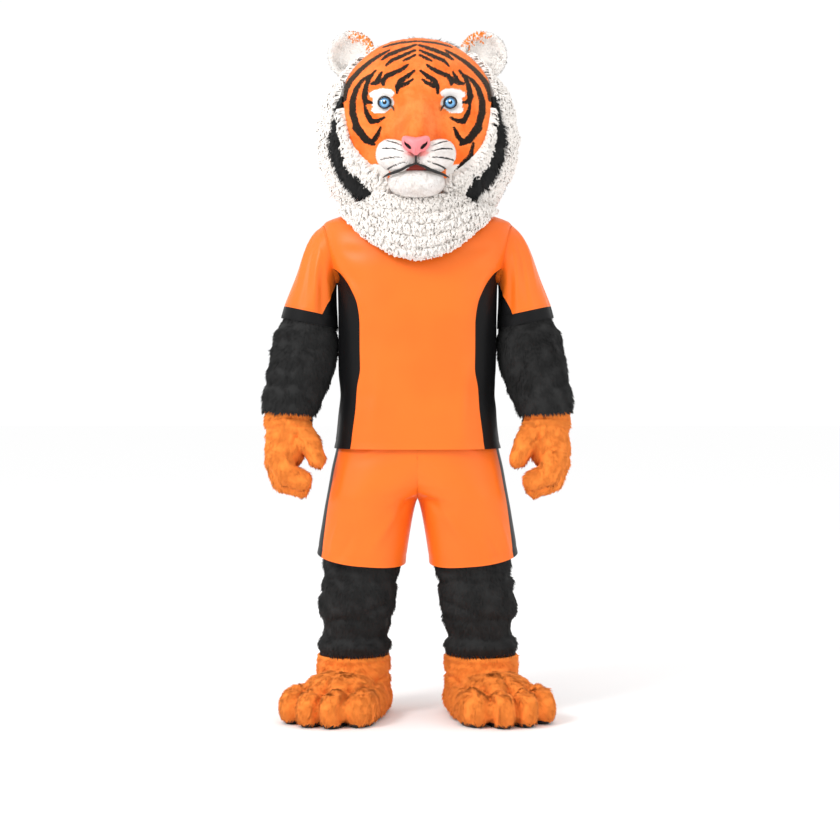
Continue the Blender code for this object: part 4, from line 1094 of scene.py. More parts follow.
def tube(table, folds=None, sign=1, scale=(0.085, 0.30)):
    """A ring at each share along a limb, between its outer and inner lines, with its folds; below a share of
    0 it is the first ring tucked inwards and drawn in, as a seam allowance."""

    def plain(angle, along):
        outer_x, outer_z = by_row(table, "outer_x", along), by_row(table, "outer_z", along)
        inner_x, inner_z = by_row(table, "inner_x", along), by_row(table, "inner_z", along)
        tuck = np.minimum(along, 0)
        swing = np.cos(angle) * (1 + 1.3 * tuck)
        x = (outer_x + inner_x) / 2 + swing * (outer_x - inner_x) / 2 + 0.4 * tuck
        z = (outer_z + inner_z) / 2 + swing * (outer_z - inner_z) / 2
        y = by_row(table, "lean", along) - by_row(table, "depth", along) * np.sin(angle) * (1 + 1.3 * tuck)
        return np.stack([x, y, z], -1)

    def folded(angle, along):
        turned = wrapped(angle + (0.12 if sign < 0 else 0.0)) * scale[0]
        push = fold_height(turned, along * scale[1], folds, scale)
        return plain(angle, along) + surface_normals(plain, angle, along) * push[..., None]

    return folded if folds else plain


def sleeve_part(surface, low, high, end):
    """The part of the sleeve between two angles, which change evenly from its top to its band."""
    gap = SEAM_GAP / 2 / 0.08

    def part(across, along):
        fade = np.clip(along / end, 0, 1)
        first = low[0] + (low[1] - low[0]) * fade + gap
        last = high[0] + (high[1] - high[0]) * fade - gap
        return surface(first + across * (last - first), along)

    return part


def stitches(line, normals, pitch=0.0042, size=(0.0027, 0.0008, 0.0006)):
    """A row of stitches: a small lozenge every pitch along a line, long along it and proud of the cloth."""
    steps = np.linalg.norm(np.diff(line, axis=0), axis=-1)
    reach = np.concatenate([[0], np.cumsum(steps)])
    at = np.arange(pitch / 2, reach[-1], pitch)
    spot = np.stack([np.interp(at, reach, line[:, k]) for k in range(3)], -1)
    out = unit(np.stack([np.interp(at, reach, normals[:, k]) for k in range(3)], -1))
    ahead = unit(np.stack([np.interp(at + 1e-4, reach, line[:, k]) for k in range(3)], -1) - spot + 1e-12)
    across = np.cross(out, ahead)
    corners = [ahead * size[0] / 2, across * size[1] / 2, -ahead * size[0] / 2, -across * size[1] / 2]
    points = np.stack(
        [spot + corner for corner in corners] + [spot + out * size[2], spot - out * size[2]], 1
    )
    shape = np.array(
        [(0, 1, 4), (1, 2, 4), (2, 3, 4), (3, 0, 4), (1, 0, 5), (2, 1, 5), (3, 2, 5), (0, 3, 5)]
    )
    faces = shape[None] + (np.arange(len(at)) * 6)[:, None, None]
    points, faces = points.reshape(-1, 3), faces.reshape(-1, 3)
    return points, faces[:, ::-1] if volume(points - points.mean(axis=0), faces) < 0 else faces


def stitch_row(surface, across, rise, lift=0.0):
    """Stitches along a surface where its second parameter is held."""
    u = np.asarray(across, float)
    v = np.full(u.shape, rise) if np.isscalar(rise) else np.asarray(rise, float)
    line = surface(u, v)
    out = surface_normals(surface, u, v)
    middle = line.mean(axis=0)
    if ((line - middle) * out).sum() < 0:
        out = -out
    return stitches(line + out * lift, out)


def cloth_piece(name, skin, thickness, look, slot, *nodes):
    """A thin cloth wall over a skin, placed on its solids."""
    points, faces = wall_on(skin, thickness)
    return place(add_mesh(name, points, faces, look), slot, *nodes)


def area_of(made):
    """Half the area of a thin wall's faces, which is the area of one side."""
    mesh = made.data
    areas = np.zeros(len(mesh.polygons), np.float32)
    mesh.polygons.foreach_get("area", areas)
    return float(areas.sum()) / 2


def as_sheet(made, width, length, share):
    """States the cut of a cloth piece: its widest size, and the share of that rectangle it fills."""
    print("sheet", made.name, "cut", round(width * length * share, 4), "mesh", round(area_of(made), 4))
    return made


def build_jersey(looks, cloth, fur):
    """Front, back, side panels, sleeves, gussets and bands, with stitching at hem and bands."""
    ladder = np.linspace(0, 1, 70)
    below = HEM_HEIGHT + ladder * (ARMHOLE_TIP - 0.0006 - HEM_HEIGHT)
    rows = np.concatenate([below, np.linspace(ARMHOLE_TIP + 0.006, SHOULDER_ROW, 28)])
    front = body_panel("front", FRONT_NECK_DIP, cloth.folds)
    back = body_panel("back", BACK_NECK_DIP, cloth.folds)
    shirt = {}
    orange, black = ("orange_jersey", "orange_jersey_cloth"), ("black_jersey", "black_jersey_cloth")
    look, slot = looks[orange[0]], orange[1]
    skin = skin_on(front, np.linspace(-1, 1, 68), rows)
    shirt["front"] = cloth_piece("shirt_front", skin, cloth.thickness, look, slot, "jersey_front")
    skin = skin_on(back, np.linspace(-1, 1, 44), rows[::2])
    shirt["back"] = cloth_piece("shirt_back", skin, cloth.thickness, look, slot, "jersey_back")
    across = np.linspace(-1, 1, 160)
    sewn = [stitch_row(surface, across, HEM_HEIGHT + HEM_STITCH, THREAD_LIFT) for surface in (front, back)]
    dark = []
    for side, sign in (("left", 1), ("right", -1)):
        panel = side_panel(sign)
        look, slot = looks[black[0]], black[1]
        skin = skin_on(panel, np.linspace(0, 1, 22), ladder)
        shirt["side_" + side] = cloth_piece(
            "shirt_side_" + side, skin, cloth.thickness, look, slot, "jersey_side_" + side
        )
        dark.append(stitch_row(panel, np.linspace(0, 1, 60), HEM_STITCH / 0.47, THREAD_LIFT))
        end = SLEEVE_BAND_START
        arm = tube(SLEEVE, SLEEVE_FOLDS, sign)
        gap = SEAM_GAP / 0.3
        main = sleeve_part(arm, (radians(-162), radians(-119)), (radians(162), radians(119)), end)
        under = sleeve_part(arm, (radians(162), radians(119)), (radians(198), radians(241)), end)
        steps = np.concatenate([[SLEEVE_TUCK], np.linspace(0, end - gap, 40)])
        pieces = (("sleeve_", main, 60, orange), ("underarm_gusset_", under, 16, black))
        for kind, surface, columns, (colour, slot) in pieces:
            skin = skin_on(surface, np.linspace(0, 1, columns), steps)
            skin = skin if sign > 0 else skin.mirrored()
            name = kind + side
            shirt[name] = cloth_piece("shirt_" + name, skin, cloth.thickness, looks[colour], slot, name)
        skin = skin_on(
            arm, np.linspace(0, 2 * pi, 72, endpoint=False), np.linspace(end + gap, 1, 7), ring=True
        )
        skin = skin if sign > 0 else skin.mirrored()
        thick = cloth.thickness + cloth.band
        shirt["band_" + side] = cloth_piece(
            "sleeve_cuff_" + side, skin, thick, looks["black_band"], black[1], "sleeve_band_" + side
        )
        flip = np.array([sign, 1, 1])
        points, faces = stitch_row(main, np.linspace(0.01, 0.99, 120), end - 0.022, THREAD_LIFT)
        sewn.append((points * flip, faces if sign > 0 else faces[:, ::-1]))
        points, faces = stitch_row(arm, np.linspace(0, 2 * pi, 150), 0.965, THREAD_LIFT)
        dark.append((points * flip, faces if sign > 0 else faces[:, ::-1]))
    thread = place(
        add_mesh("shirt_stitching", *joined(sewn), looks["orange_thread"]), "orange_jersey_cloth"
    )
    black_thread = place(
        add_mesh("shirt_black_stitching", *joined(dark), looks["black_band"]), "black_jersey_cloth"
    )
    as_sheet(shirt["front"], 0.58, 0.66, 0.80)
    as_sheet(shirt["back"], 0.58, 0.67, 0.78)
    for side in ("left", "right"):
        as_sheet(shirt["side_" + side], 0.26, 0.53, 0.9)
        as_sheet(shirt["sleeve_" + side], 0.46, 0.24, 0.72)
        as_sheet(shirt["underarm_gusset_" + side], 0.18, 0.13, 0.55)
        as_sheet(shirt["band_" + side], 0.52, 0.032, 1.0)
    return shirt


# ---- shorts ----
def leg_ring(table, angle, height, spare=SEAM_GAP / 2):
    """Half a hip ring above the crotch and a whole leg ring below it; angle 0 is the front."""
    side, inner = smooth(table, "side", height), smooth(table, "inner", height)
    facing = np.cos(angle)
    deep = np.where(facing > 0, smooth(table, "front", height), smooth(table, "back", height))
    x = (side + inner) / 2 + (side - inner) / 2 * power(np.sin(angle), 2.3)
    return np.stack([np.maximum(x, spare), -deep * power(facing, 2.3), height + 0 * x], -1)


def inner_angle(table, height):
    """Where the ring meets the centre seam, or the inseam below the crotch."""
    side, inner = smooth(table, "side", height), smooth(table, "inner", height)
    reach = np.clip((SEAM_GAP / 2 - (side + inner) / 2) / ((side - inner) / 2), -1, 1)
    return np.arcsin(-np.abs(reach) ** 1.15) - 0.004


def folded_leg(table, folds, sign, hem=None):
    """A leg ring moved out along its normal by its folds, kept on its own side of the centre seam."""

    def plain(angle, height):
        return leg_ring(table, angle, height, -1.0)

    def surface(angle, height):
        turned = wrapped(angle + (0.15 if sign < 0 else 0.0)) * LEG_SCALE
        push = fold_height(turned, height, folds, (LEG_SCALE, 1.0))
        if hem is not None:
            push = push + hem_line(height, hem, SHORTS_STITCH)
        points = plain(angle, height) + surface_normals(plain, angle, height) * push[..., None]
        points[..., 0] = np.maximum(points[..., 0], 0.0)
        return points

    return surface


def hem_tilt(angle, height):
    """The shorts' hem runs higher at the side and lower at the front."""
    fade = np.clip((CROTCH_FORK - height) / 0.16, 0, 1)
    return fade * (0.014 * np.sin(angle) - 0.017 * np.maximum(np.cos(angle), 0) - 0.006)


def shorts_part(side, sign):
    """A front, a back or a side stripe: the leg ring between that part's two edges at each height."""
    ring = folded_leg(TROUSERS, SHORTS_FOLDS, sign, SHORTS_HEM)

    def surface(across, height):
        gap = SEAM_GAP / 2 / LEG_SCALE
        low = inner_angle(TROUSERS, height)
        front_edge = np.radians(smooth(STRIPE_EDGES, "front_angle", height))
        back_edge = np.radians(smooth(STRIPE_EDGES, "back_angle", height))
        if side == "front":
            angle = low + across * (front_edge - gap - low)
        elif side == "back":
            angle = back_edge + gap + across * (pi - low - back_edge - gap)
        else:
            angle = front_edge + gap + across * (back_edge - front_edge - 2 * gap)
        points = ring(angle, height)
        points[..., 2] += hem_tilt(angle, height)
        return points

    return surface


def build_shorts(looks, cloth, fur):
    """Front and back halves, side stripes and the waistband, with hem stitching."""
    rows = np.concatenate([np.linspace(SHORTS_HEM, CROTCH_FORK, 26), np.linspace(0.618, SHORTS_WAIST, 26)])
    sewn, dark, made = [], [], {}
    for side, sign in (("left", 1), ("right", -1)):
        for kind, columns, colour in (
            ("front", 40, "orange"), ("back", 34, "orange"), ("stripe", 12, "black")
        ):
            surface = shorts_part(kind, sign)
            skin = skin_on(surface, np.linspace(0, 1, columns), rows)
            skin = skin if sign > 0 else skin.mirrored()
            look, slot = looks[colour + "_jersey"], colour + "_jersey_cloth"
            name, node = f"trunks_{kind}_{side}", f"shorts_{kind}_{side}"
            made[kind + side] = cloth_piece(name, skin, cloth.thickness, look, slot, node)
            across = np.linspace(0.01, 0.99, 120)
            points, faces = stitch_row(surface, across, SHORTS_HEM + SHORTS_STITCH, THREAD_LIFT)
            points = points * np.array([sign, 1, 1])
            (dark if kind == "stripe" else sewn).append((points, faces if sign > 0 else faces[:, ::-1]))

    def band(angle, height):
        ring = torso(angle, height) * np.array([0.2205 / 0.2295, 0.132 / 0.147, 1.0])
        gather = 0.0012 * np.sin(angle * 60)
        return ring + surface_normals(torso, angle, height) * gather[..., None]

    skin = skin_on(
        band, np.linspace(0, 2 * pi, 240, endpoint=False), (0.8053, 0.815, 0.825, 0.835), ring=True
    )
    thick, slot = cloth.thickness + cloth.band / 2, "orange_jersey_cloth"
    waist = cloth_piece("trunks_waistband", skin, thick, looks["orange_jersey"], slot, "shorts_waistband")
    thread = place(
        add_mesh("trunks_stitching", *joined(sewn), looks["orange_thread"]), "orange_jersey_cloth"
    )
    black_thread = place(
        add_mesh("trunks_black_stitching", *joined(dark), looks["black_band"]), "black_jersey_cloth"
    )
    for side in ("left", "right"):
        as_sheet(made["front" + side], 0.35, 0.385, 0.87)
        as_sheet(made["back" + side], 0.36, 0.38, 0.87)
        as_sheet(made["stripe" + side], 0.11, 0.36, 0.95)
    as_sheet(waist, 1.2, 0.032, 1.0)
    return made


# ---- fur suit ----
def leg_tube(sign):
    """The fur leg: its folded ring, with the bottom edge dipping at the front."""
    ring = folded_leg(LEG, LEG_FOLDS, sign)

    def surface(angle, height):
        points = ring(angle, height)
        points[..., 2] += np.clip((0.247 - height) / 0.09, 0, 1) * -0.006 * np.cos(angle)
        return points

    return surface


def build_suit(looks, cloth, fur):
    """Fur legs and arms with their pile; the hidden suit body keeps its CAD solid in black fur."""
    turn = np.linspace(0, 2 * pi, 50, endpoint=False)
    for side, sign in (("left", 1), ("right", -1)):
        seed = 11 if sign > 0 else 12
        hidden = bpy.data.objects["suit_body_" + side].data.materials
        hidden.clear()
        hidden.append(looks["black_fur"])
        skin = skin_on(leg_tube(sign), turn, np.linspace(LEG_BOTTOM, LEG_TOP, 50), ring=True)
        skin = skin if sign > 0 else skin.mirrored()
        points, faces = wall_on(skin, FUR_BACKING)
        leg = place(
            add_mesh("fur_leg_" + side, points, faces, looks["black_fur"]), "black_fur", "suit_leg_" + side
        )
        pile = add_pile(
            fur,
            "fur_leg_pile_" + side,
            skin,
            "black",
            seed,
            looks["black_fur"],
            "black_fur",
            keep=lambda root: root[:, 2] < LEG_SHOWS_BELOW,
            sag=0.12,
        )
        as_sheet(leg, 0.64, 0.395, 1.0)
        skin = skin_on(
            tube(ARM, ARM_FOLDS, sign),
            turn,
            np.concatenate([[ARM_TUCK], np.linspace(0, 1, 50)]),
            ring=True,
            down=1.0,
        )
        skin = skin if sign > 0 else skin.mirrored()
        points, faces = wall_on(skin, FUR_BACKING)
        arm = place(
            add_mesh("fur_arm_" + side, points, faces, looks["black_fur"]), "black_fur", "suit_arm_" + side
        )
        edge = SLEEVE["inner_z"][-1] + BAND_CLEAR

        def below_band(root):
            """True below the sloping edge of the sleeve band."""
            return root[:, 2] < edge + (np.abs(root[:, 0]) - 0.225) * 0.21

        pile = add_pile(
            fur, "fur_arm_pile_" + side, skin, "black", seed + 10, looks["black_fur"], "black_fur",
            keep=below_band, sag=0.12,
        )
        as_sheet(arm, 0.55, 0.47, 0.9)


# ---- gloves and paws ----
def chain(balls, steps=10):
    """Balls along a bent line of (x, y, z, radius) rows, close enough to read as one finger."""
    rows = np.array(balls, float)
    at = np.linspace(0, 1, (len(rows) - 1) * steps + 1)
    line = np.stack([np.interp(at, np.linspace(0, 1, len(rows)), rows[:, i]) for i in range(4)], -1)
    return [ball(row[:3], (row[3],) * 3, 10, 18) for row in line]


def arrays_of(made):
    """The evaluated points and triangles of an object, as whole arrays."""
    graph = bpy.context.evaluated_depsgraph_get()
    evaluated = made.evaluated_get(graph)
    mesh = evaluated.to_mesh()
    mesh.calc_loop_triangles()
    points = np.empty(len(mesh.vertices) * 3, np.float32)
    mesh.vertices.foreach_get("co", points)
    faces = np.empty(len(mesh.loop_triangles) * 3, np.int32)
    mesh.loop_triangles.foreach_get("vertices", faces)
    evaluated.to_mesh_clear()
    return points.reshape(-1, 3).astype(float), faces.reshape(-1, 3)


def melted(bodies, voxel, rounds):
    """One skin over many closed bodies: remeshed in small voxels, then smoothed."""
    points, faces = joined(bodies)
    mesh = bpy.data.meshes.new("form")
    mesh.from_pydata(points.tolist(), [], faces.tolist())
    made = bpy.data.objects.new("form", mesh)
    bpy.context.scene.collection.objects.link(made)
    remesh = made.modifiers.new("one skin", "REMESH")
    remesh.mode = "VOXEL"
    remesh.voxel_size = voxel
    soften = made.modifiers.new("soften", "SMOOTH")
    soften.factor = 0.5
    soften.iterations = rounds
    bpy.context.view_layer.update()
    arrays = arrays_of(made)
    bpy.data.objects.remove(made)
    bpy.data.meshes.remove(mesh)
    return arrays


def trimmed(points, faces, planes, fill=False):
    """The skin with what lies beyond each (point, direction) plane taken away, as arrays."""
    mesh = bpy.data.meshes.new("trim")
    mesh.from_pydata(points.tolist(), [], faces.tolist())
    work = bmesh.new()
    work.from_mesh(mesh)
    for point, direction in planes:
        everything = work.verts[:] + work.edges[:] + work.faces[:]
        bmesh.ops.bisect_plane(
            work, geom=everything, plane_co=point, plane_no=direction, clear_outer=True, dist=1e-5
        )
        if fill:
            bmesh.ops.holes_fill(work, edges=[edge for edge in work.edges if edge.is_boundary], sides=0)
    bmesh.ops.remove_doubles(work, verts=work.verts, dist=4e-4)
    bmesh.ops.triangulate(work, faces=work.faces)
    work.to_mesh(mesh)
    work.free()
    points = np.empty(len(mesh.vertices) * 3, np.float32)
    mesh.vertices.foreach_get("co", points)
    faces = np.empty(len(mesh.polygons) * 3, np.int32)
    mesh.polygons.foreach_get("vertices", faces)
    bpy.data.meshes.remove(mesh)
    return points.reshape(-1, 3).astype(float), faces.reshape(-1, 3)


def form_skin(points, faces, comb):
    """A skin on a free form; the comb is what is left of a direction on the surface."""
    normals = vertex_normals(points, faces)
    return Skin(points, faces, normals, normals).combed(comb)


def walled(made, thickness):
    """Gives an open skin a wall that grows inwards."""
    wall = made.modifiers.new("cloth", "SOLIDIFY")
    wall.thickness = thickness
    wall.offset = -1
    return made


def toward(points, target, away=1.0):
    """Unit directions from a target to each point."""
    return unit((points - np.asarray(target, float)) * away)


def build_gloves(looks, cloth, fur):
    """Fur gloves: one form of wrist, palm and four fingers, parted into its back and its palm."""
    bodies = []
    for balls in (WRIST, PALM, THUMB, INDEX, MIDDLE, LITTLE):
        bodies += chain(balls)
    points, faces = melted(bodies, GLOVE_VOXEL, 3)
    normals = vertex_normals(points, faces)
    s, t = points[:, 0], points[:, 2]
    rolls = np.zeros(len(points))
    for x0, z0, x1, z1, width, height in GLOVE_ROLLS:
        dx, dz = x1 - x0, z1 - z0
        along = np.clip(((s - x0) * dx + (t - z0) * dz) / (dx * dx + dz * dz), 0, 1)
        rolls += height * np.exp(-((np.hypot(s - x0 - along * dx, t - z0 - along * dz) / width) ** 2))
    points = points + normals * (rolls * ramp(-normals[:, 1], -0.2, 0.4))[:, None]
    wrist = ((0.362, -0.034, 0.872), (0.0, -0.18, 0.98))
    seam = Vector((0.362, -0.026, 0.75))
    palm_way = Vector((-0.35, 0.94, 0.0)).normalized()
    step = palm_way * 0.0004
    parts = (
        ("back", trimmed(points, faces, (wrist, (seam - step, palm_way))), "orange_fur", "orange", 0.004),
        ("palm", trimmed(points, faces, (wrist, (seam + step, -palm_way))), "black_fur", "black", 0.003),
    )
    for side, sign in (("left", 1), ("right", -1)):
        for number, (kind, (skin_points, skin_faces), look, pile_kind, thickness) in enumerate(parts):
            way = np.array([0.0, 0.0, -1.0]) + toward(skin_points, (0.345, -0.06, 0.80)) * 0.8
            skin = form_skin(skin_points, skin_faces, way)
            skin = skin if sign > 0 else skin.mirrored()
            made = walled(add_mesh(f"mitt_{kind}_{side}", skin.points, skin.faces, looks[look]), thickness)
            place(made, look, f"glove_{kind}_{side}")
            grow = 1.0 if kind == "back" else 0.55
            add_pile(
                fur, f"mitt_{kind}_pile_{side}", skin, pile_kind, 30 + number + 2 * (sign > 0), looks[look],
                look, grow=grow,
            )


def foot_place(side, forward, up):
    """A place in the turned foot's own directions, on the +X side."""
    x = FOOT_PLACE[0] + side * cos(FOOT_TURN) + forward * sin(FOOT_TURN)
    y = FOOT_PLACE[1] + side * sin(FOOT_TURN) - forward * cos(FOOT_TURN)
    return np.stack([x + 0 * np.asarray(up), y + 0 * np.asarray(up), up + 0 * x], -1)


def foot_frame(points):
    """Each point's place across and along the turned foot."""
    x, y = points[:, 0] - FOOT_PLACE[0], points[:, 1] - FOOT_PLACE[1]
    return x * cos(FOOT_TURN) + y * sin(FOOT_TURN), x * sin(FOOT_TURN) - y * cos(FOOT_TURN)


def foot_ball(side, forward, up, radii):
    """A ball turned with the foot and set at a place in the foot's own directions."""
    points, faces = ball((0, 0, 0), radii, 16, 28)
    x, y, z = points.T
    turned = [x * cos(FOOT_TURN) - y * sin(FOOT_TURN), x * sin(FOOT_TURN) + y * cos(FOOT_TURN), z]
    turned = np.stack(turned, -1)
    return turned + foot_place(side, forward, up), faces


def build_paws(looks, cloth, fur):
    """Foam-filled paws: ankle roll, foot and four toes with grooves between them, on black soles."""
    bodies = [foot_ball(0.0, 0.0, up, (0.104, 0.106, 0.04)) for up in np.linspace(0.06, 0.16, 6)]
    bodies.append(foot_ball(0.0, -0.01, 0.045, (0.106, 0.105, 0.080)))
    bodies.append(foot_ball(0.0, 0.10, 0.045, (0.128, 0.150, 0.088)))
    bodies.append(foot_ball(0.0, 0.12, 0.060, (0.112, 0.125, 0.074)))
    for side, forward, half in TOES:
        bodies.append(foot_ball(side, forward, 0.045, (half, 0.078, 0.060)))
    points, faces = melted(bodies, PAW_VOXEL, 2)
    normals = vertex_normals(points, faces)
    across, ahead = foot_frame(points)
    groove = np.zeros(len(points))
    for middle, start, depth in TOE_GROOVES:
        off = across - middle * (0.9 + 0.4 * ahead)
        groove += depth * np.exp(-((off / 0.0065) ** 2)) * ramp(ahead, start - 0.03, start + 0.05)
    off = points[:, 2] - 0.118 + 0.02 * ramp(ahead, -0.05, 0.10)
    roll = 0.007 * np.exp(-((off / 0.006) ** 2)) * ramp(points[:, 2], 0.08, 0.1)
    points = points - normals * (groove + roll)[:, None]
    upper = trimmed(
        points, faces, (((0, 0, SOLE_HEIGHT + SEAM_GAP), (0, 0, -1)), ((0, 0, ANKLE_TOP), (0, 0, 1)))
    )
    sole = trimmed(points, faces, (((0, 0, 0.0), (0, 0, -1)), ((0, 0, SOLE_HEIGHT), (0, 0, 1))), fill=True)
    for side, sign in (("left", 1), ("right", -1)):
        skin_points, skin_faces = upper
        _, forward = foot_frame(skin_points)
        start = foot_place(0.0, 0.06, 0.16)
        way = toward(skin_points, start) + np.array([0.0, 0.0, -0.35])
        skin = form_skin(skin_points, skin_faces, way)
        skin = skin if sign > 0 else skin.mirrored()
        made = walled(add_mesh("paw_top_" + side, skin.points, skin.faces, looks["orange_fur"]), PAW_WALL)
        place(made, "orange_fur", "paw_upper_" + side)
        add_pile(fur, "paw_pile_" + side, skin, "paw", 50 + sign, looks["orange_fur"], "orange_fur")
        sole_points, sole_faces = sole
        if sign < 0:
            sole_points, sole_faces = sole_points * np.array([-1, 1, 1]), sole_faces[:, ::-1]
        place(
            add_mesh("paw_base_" + side, sole_points, sole_faces, looks["sole_rubber"]),
            "black_sole",
            "paw_sole_" + side,
        )


# ---- head ----
def head_radius(x, z):
    """Distance from the face's middle over the distance of the head's outline that way."""
    up = np.linspace(HEAD_OUTLINE["height"][0], HEAD_OUTLINE["height"][-1], 160)
    across = smooth(HEAD_OUTLINE, "x", up)
    angles = np.arctan2(up - FACE_HEIGHT, across)
    reach = np.hypot(up - FACE_HEIGHT, across)
    return np.hypot(x, z - FACE_HEIGHT) / np.interp(np.arctan2(z - FACE_HEIGHT, np.abs(x)), angles, reach)


def head_depth(x, z, depth):
    """A dome: the depth times one less the distance ratio to 2.4, all to 0.53."""
    ratio = np.clip(head_radius(x, z), 0, 0.9995)
    return depth * (1 - ratio**2.4) ** 0.53


def head_band(start, end, depth=-FACE_DEPTH, puff=0.0):
    """The head's surface between two border columns; across runs from the first to the second."""

    def surface(across, height):
        first = smooth(HEAD_BORDERS, start, height) + SEAM_GAP / 2 if start else SEAM_GAP / 2 + 0 * height
        if end == "outline":
            last = smooth(HEAD_OUTLINE, "x", height)
        else:
            last = smooth(HEAD_BORDERS, end, height) - SEAM_GAP / 2
        x = first + np.maximum(last - first, 0.0006) * across
        swell = puff * np.sin(pi * np.clip(across, 0, 1)) * ramp(last - first, 0.004, 0.02)
        return np.stack([x, head_depth(x, height, depth) - swell, height + 0 * x], -1)

    return surface


def face_relief(x, z):
    """Brows, eye hollows, cheeks and the nose bridge as bells on the dome, fading out at the border."""
    up = (z - FACE_HEIGHT) * 1000
    total = np.zeros(np.broadcast(x, z).shape)
    for cx, cy, wide, tall, rise in zip(*(RELIEF[key] for key in ("x", "up", "wide", "tall", "rise"))):
        total += rise / 1000 * np.exp(-(((np.abs(x) * 1000 - cx) / wide) ** 2) - ((up - cy) / tall) ** 2)
    shifted = x - NOSE_SHIFT * ramp(-up, -60, 40)
    lift = smooth(BRIDGE, "rise", z)
    half = smooth(BRIDGE, "half", z)
    total += lift * np.exp(-(np.abs(shifted) / half) ** 2.6)
    border = smooth(HEAD_BORDERS, "face", z)
    return total * (1 - ramp(np.abs(x) / border, 0.86, 1.0))


def face_surface(across, height):
    """The face from border to border: the dome less the relief, which stands forward."""
    x = across * smooth(HEAD_BORDERS, "face", height)
    return np.stack([x, head_depth(x, height, -FACE_DEPTH) - face_relief(x, height), height + 0 * x], -1)


def build_face(looks, cloth, fur):
    """The painted face with its short plush."""
    low = np.linspace(1.503, 1.66, 46)
    high = 1.66 + 0.2516 * np.sin(np.linspace(0, pi / 2, 78))[1:]
    rows = np.concatenate([low, high])
    t = np.linspace(-1, 1, 112)
    skin = skin_on(face_surface, 0.7 * t + 0.3 * np.sin(t * pi / 2), rows)
    skin.combed(toward(skin.points, (0, -0.30, 1.60)))
    points, faces = wall_on(skin, 0.006)
    ink, white = face_marks(points)
    white = white * (points[:, 1] < 0.1)
    # The face takes a little of the painted root shade: its pile value sits near the tip.
    values = {
        "ink": ink, "white": white, "pile": np.full(len(points), 0.7), "tone": np.full(len(points), 0.4)
    }
    face = add_mesh("painted_face", points, faces, looks["face_fur"], values)
    place(face, "orange_fur", "face_left", "face_right", "nose_bridge")

    def clear_of_eyes(root):
        """True outside an oval around each eye."""
        away = np.hypot((np.abs(root[:, 0]) - EYE_X) / 0.020, (root[:, 2] - EYE_HEIGHT) / 0.018)
        return away > 1

    add_pile(
        fur, "face_plush", skin, "plush", 71, looks["face_fur"], "orange_fur", marks=face_marks,
        keep=clear_of_eyes,
    )


def muzzle_marks(sign):
    """Whisker rows as black marks and the pink tint beside the nose, for one pad."""

    def marks(points):
        x = points[..., 0] * 1000 * sign
        up = (points[..., 2] - FACE_HEIGHT) * 1000
        ink = mark_depth(x, up, WHISKER_ROWS)
        broken = np.sin(x * 0.9 + up * 0.35) * 0.55
        ink = ink + 0.9 - np.maximum(broken, 0) * ramp(-x, -75, -40) * 1.1
        low_lip = mark_depth(x, up, LOW_LIP)
        pink = np.exp(-(((x - 12) / 22) ** 2) - ((up + 100) / 11) ** 2)
        return np.maximum(ink, low_lip), pink

    return marks


def squircle_ball(centre, radii, square, rings, segments):
    """A ball squared off: the sines and cosines of both angles raised to two over the square."""
    tip = np.linspace(0, pi, rings + 2)[1:-1, None]
    turn = np.linspace(0, 2 * pi, segments, endpoint=False)[None]
    out = power(np.sin(tip), square)
    grid = np.stack(
        [
            out * power(np.cos(turn), square),
            out * power(np.sin(turn), square),
            power(np.cos(tip), square) + 0 * turn,
        ],
        -1,
    )
    centre, radii = np.asarray(centre, float), np.asarray(radii, float)
    return pod(centre + grid * radii, centre + (0, 0, radii[2]), centre - (0, 0, radii[2]))


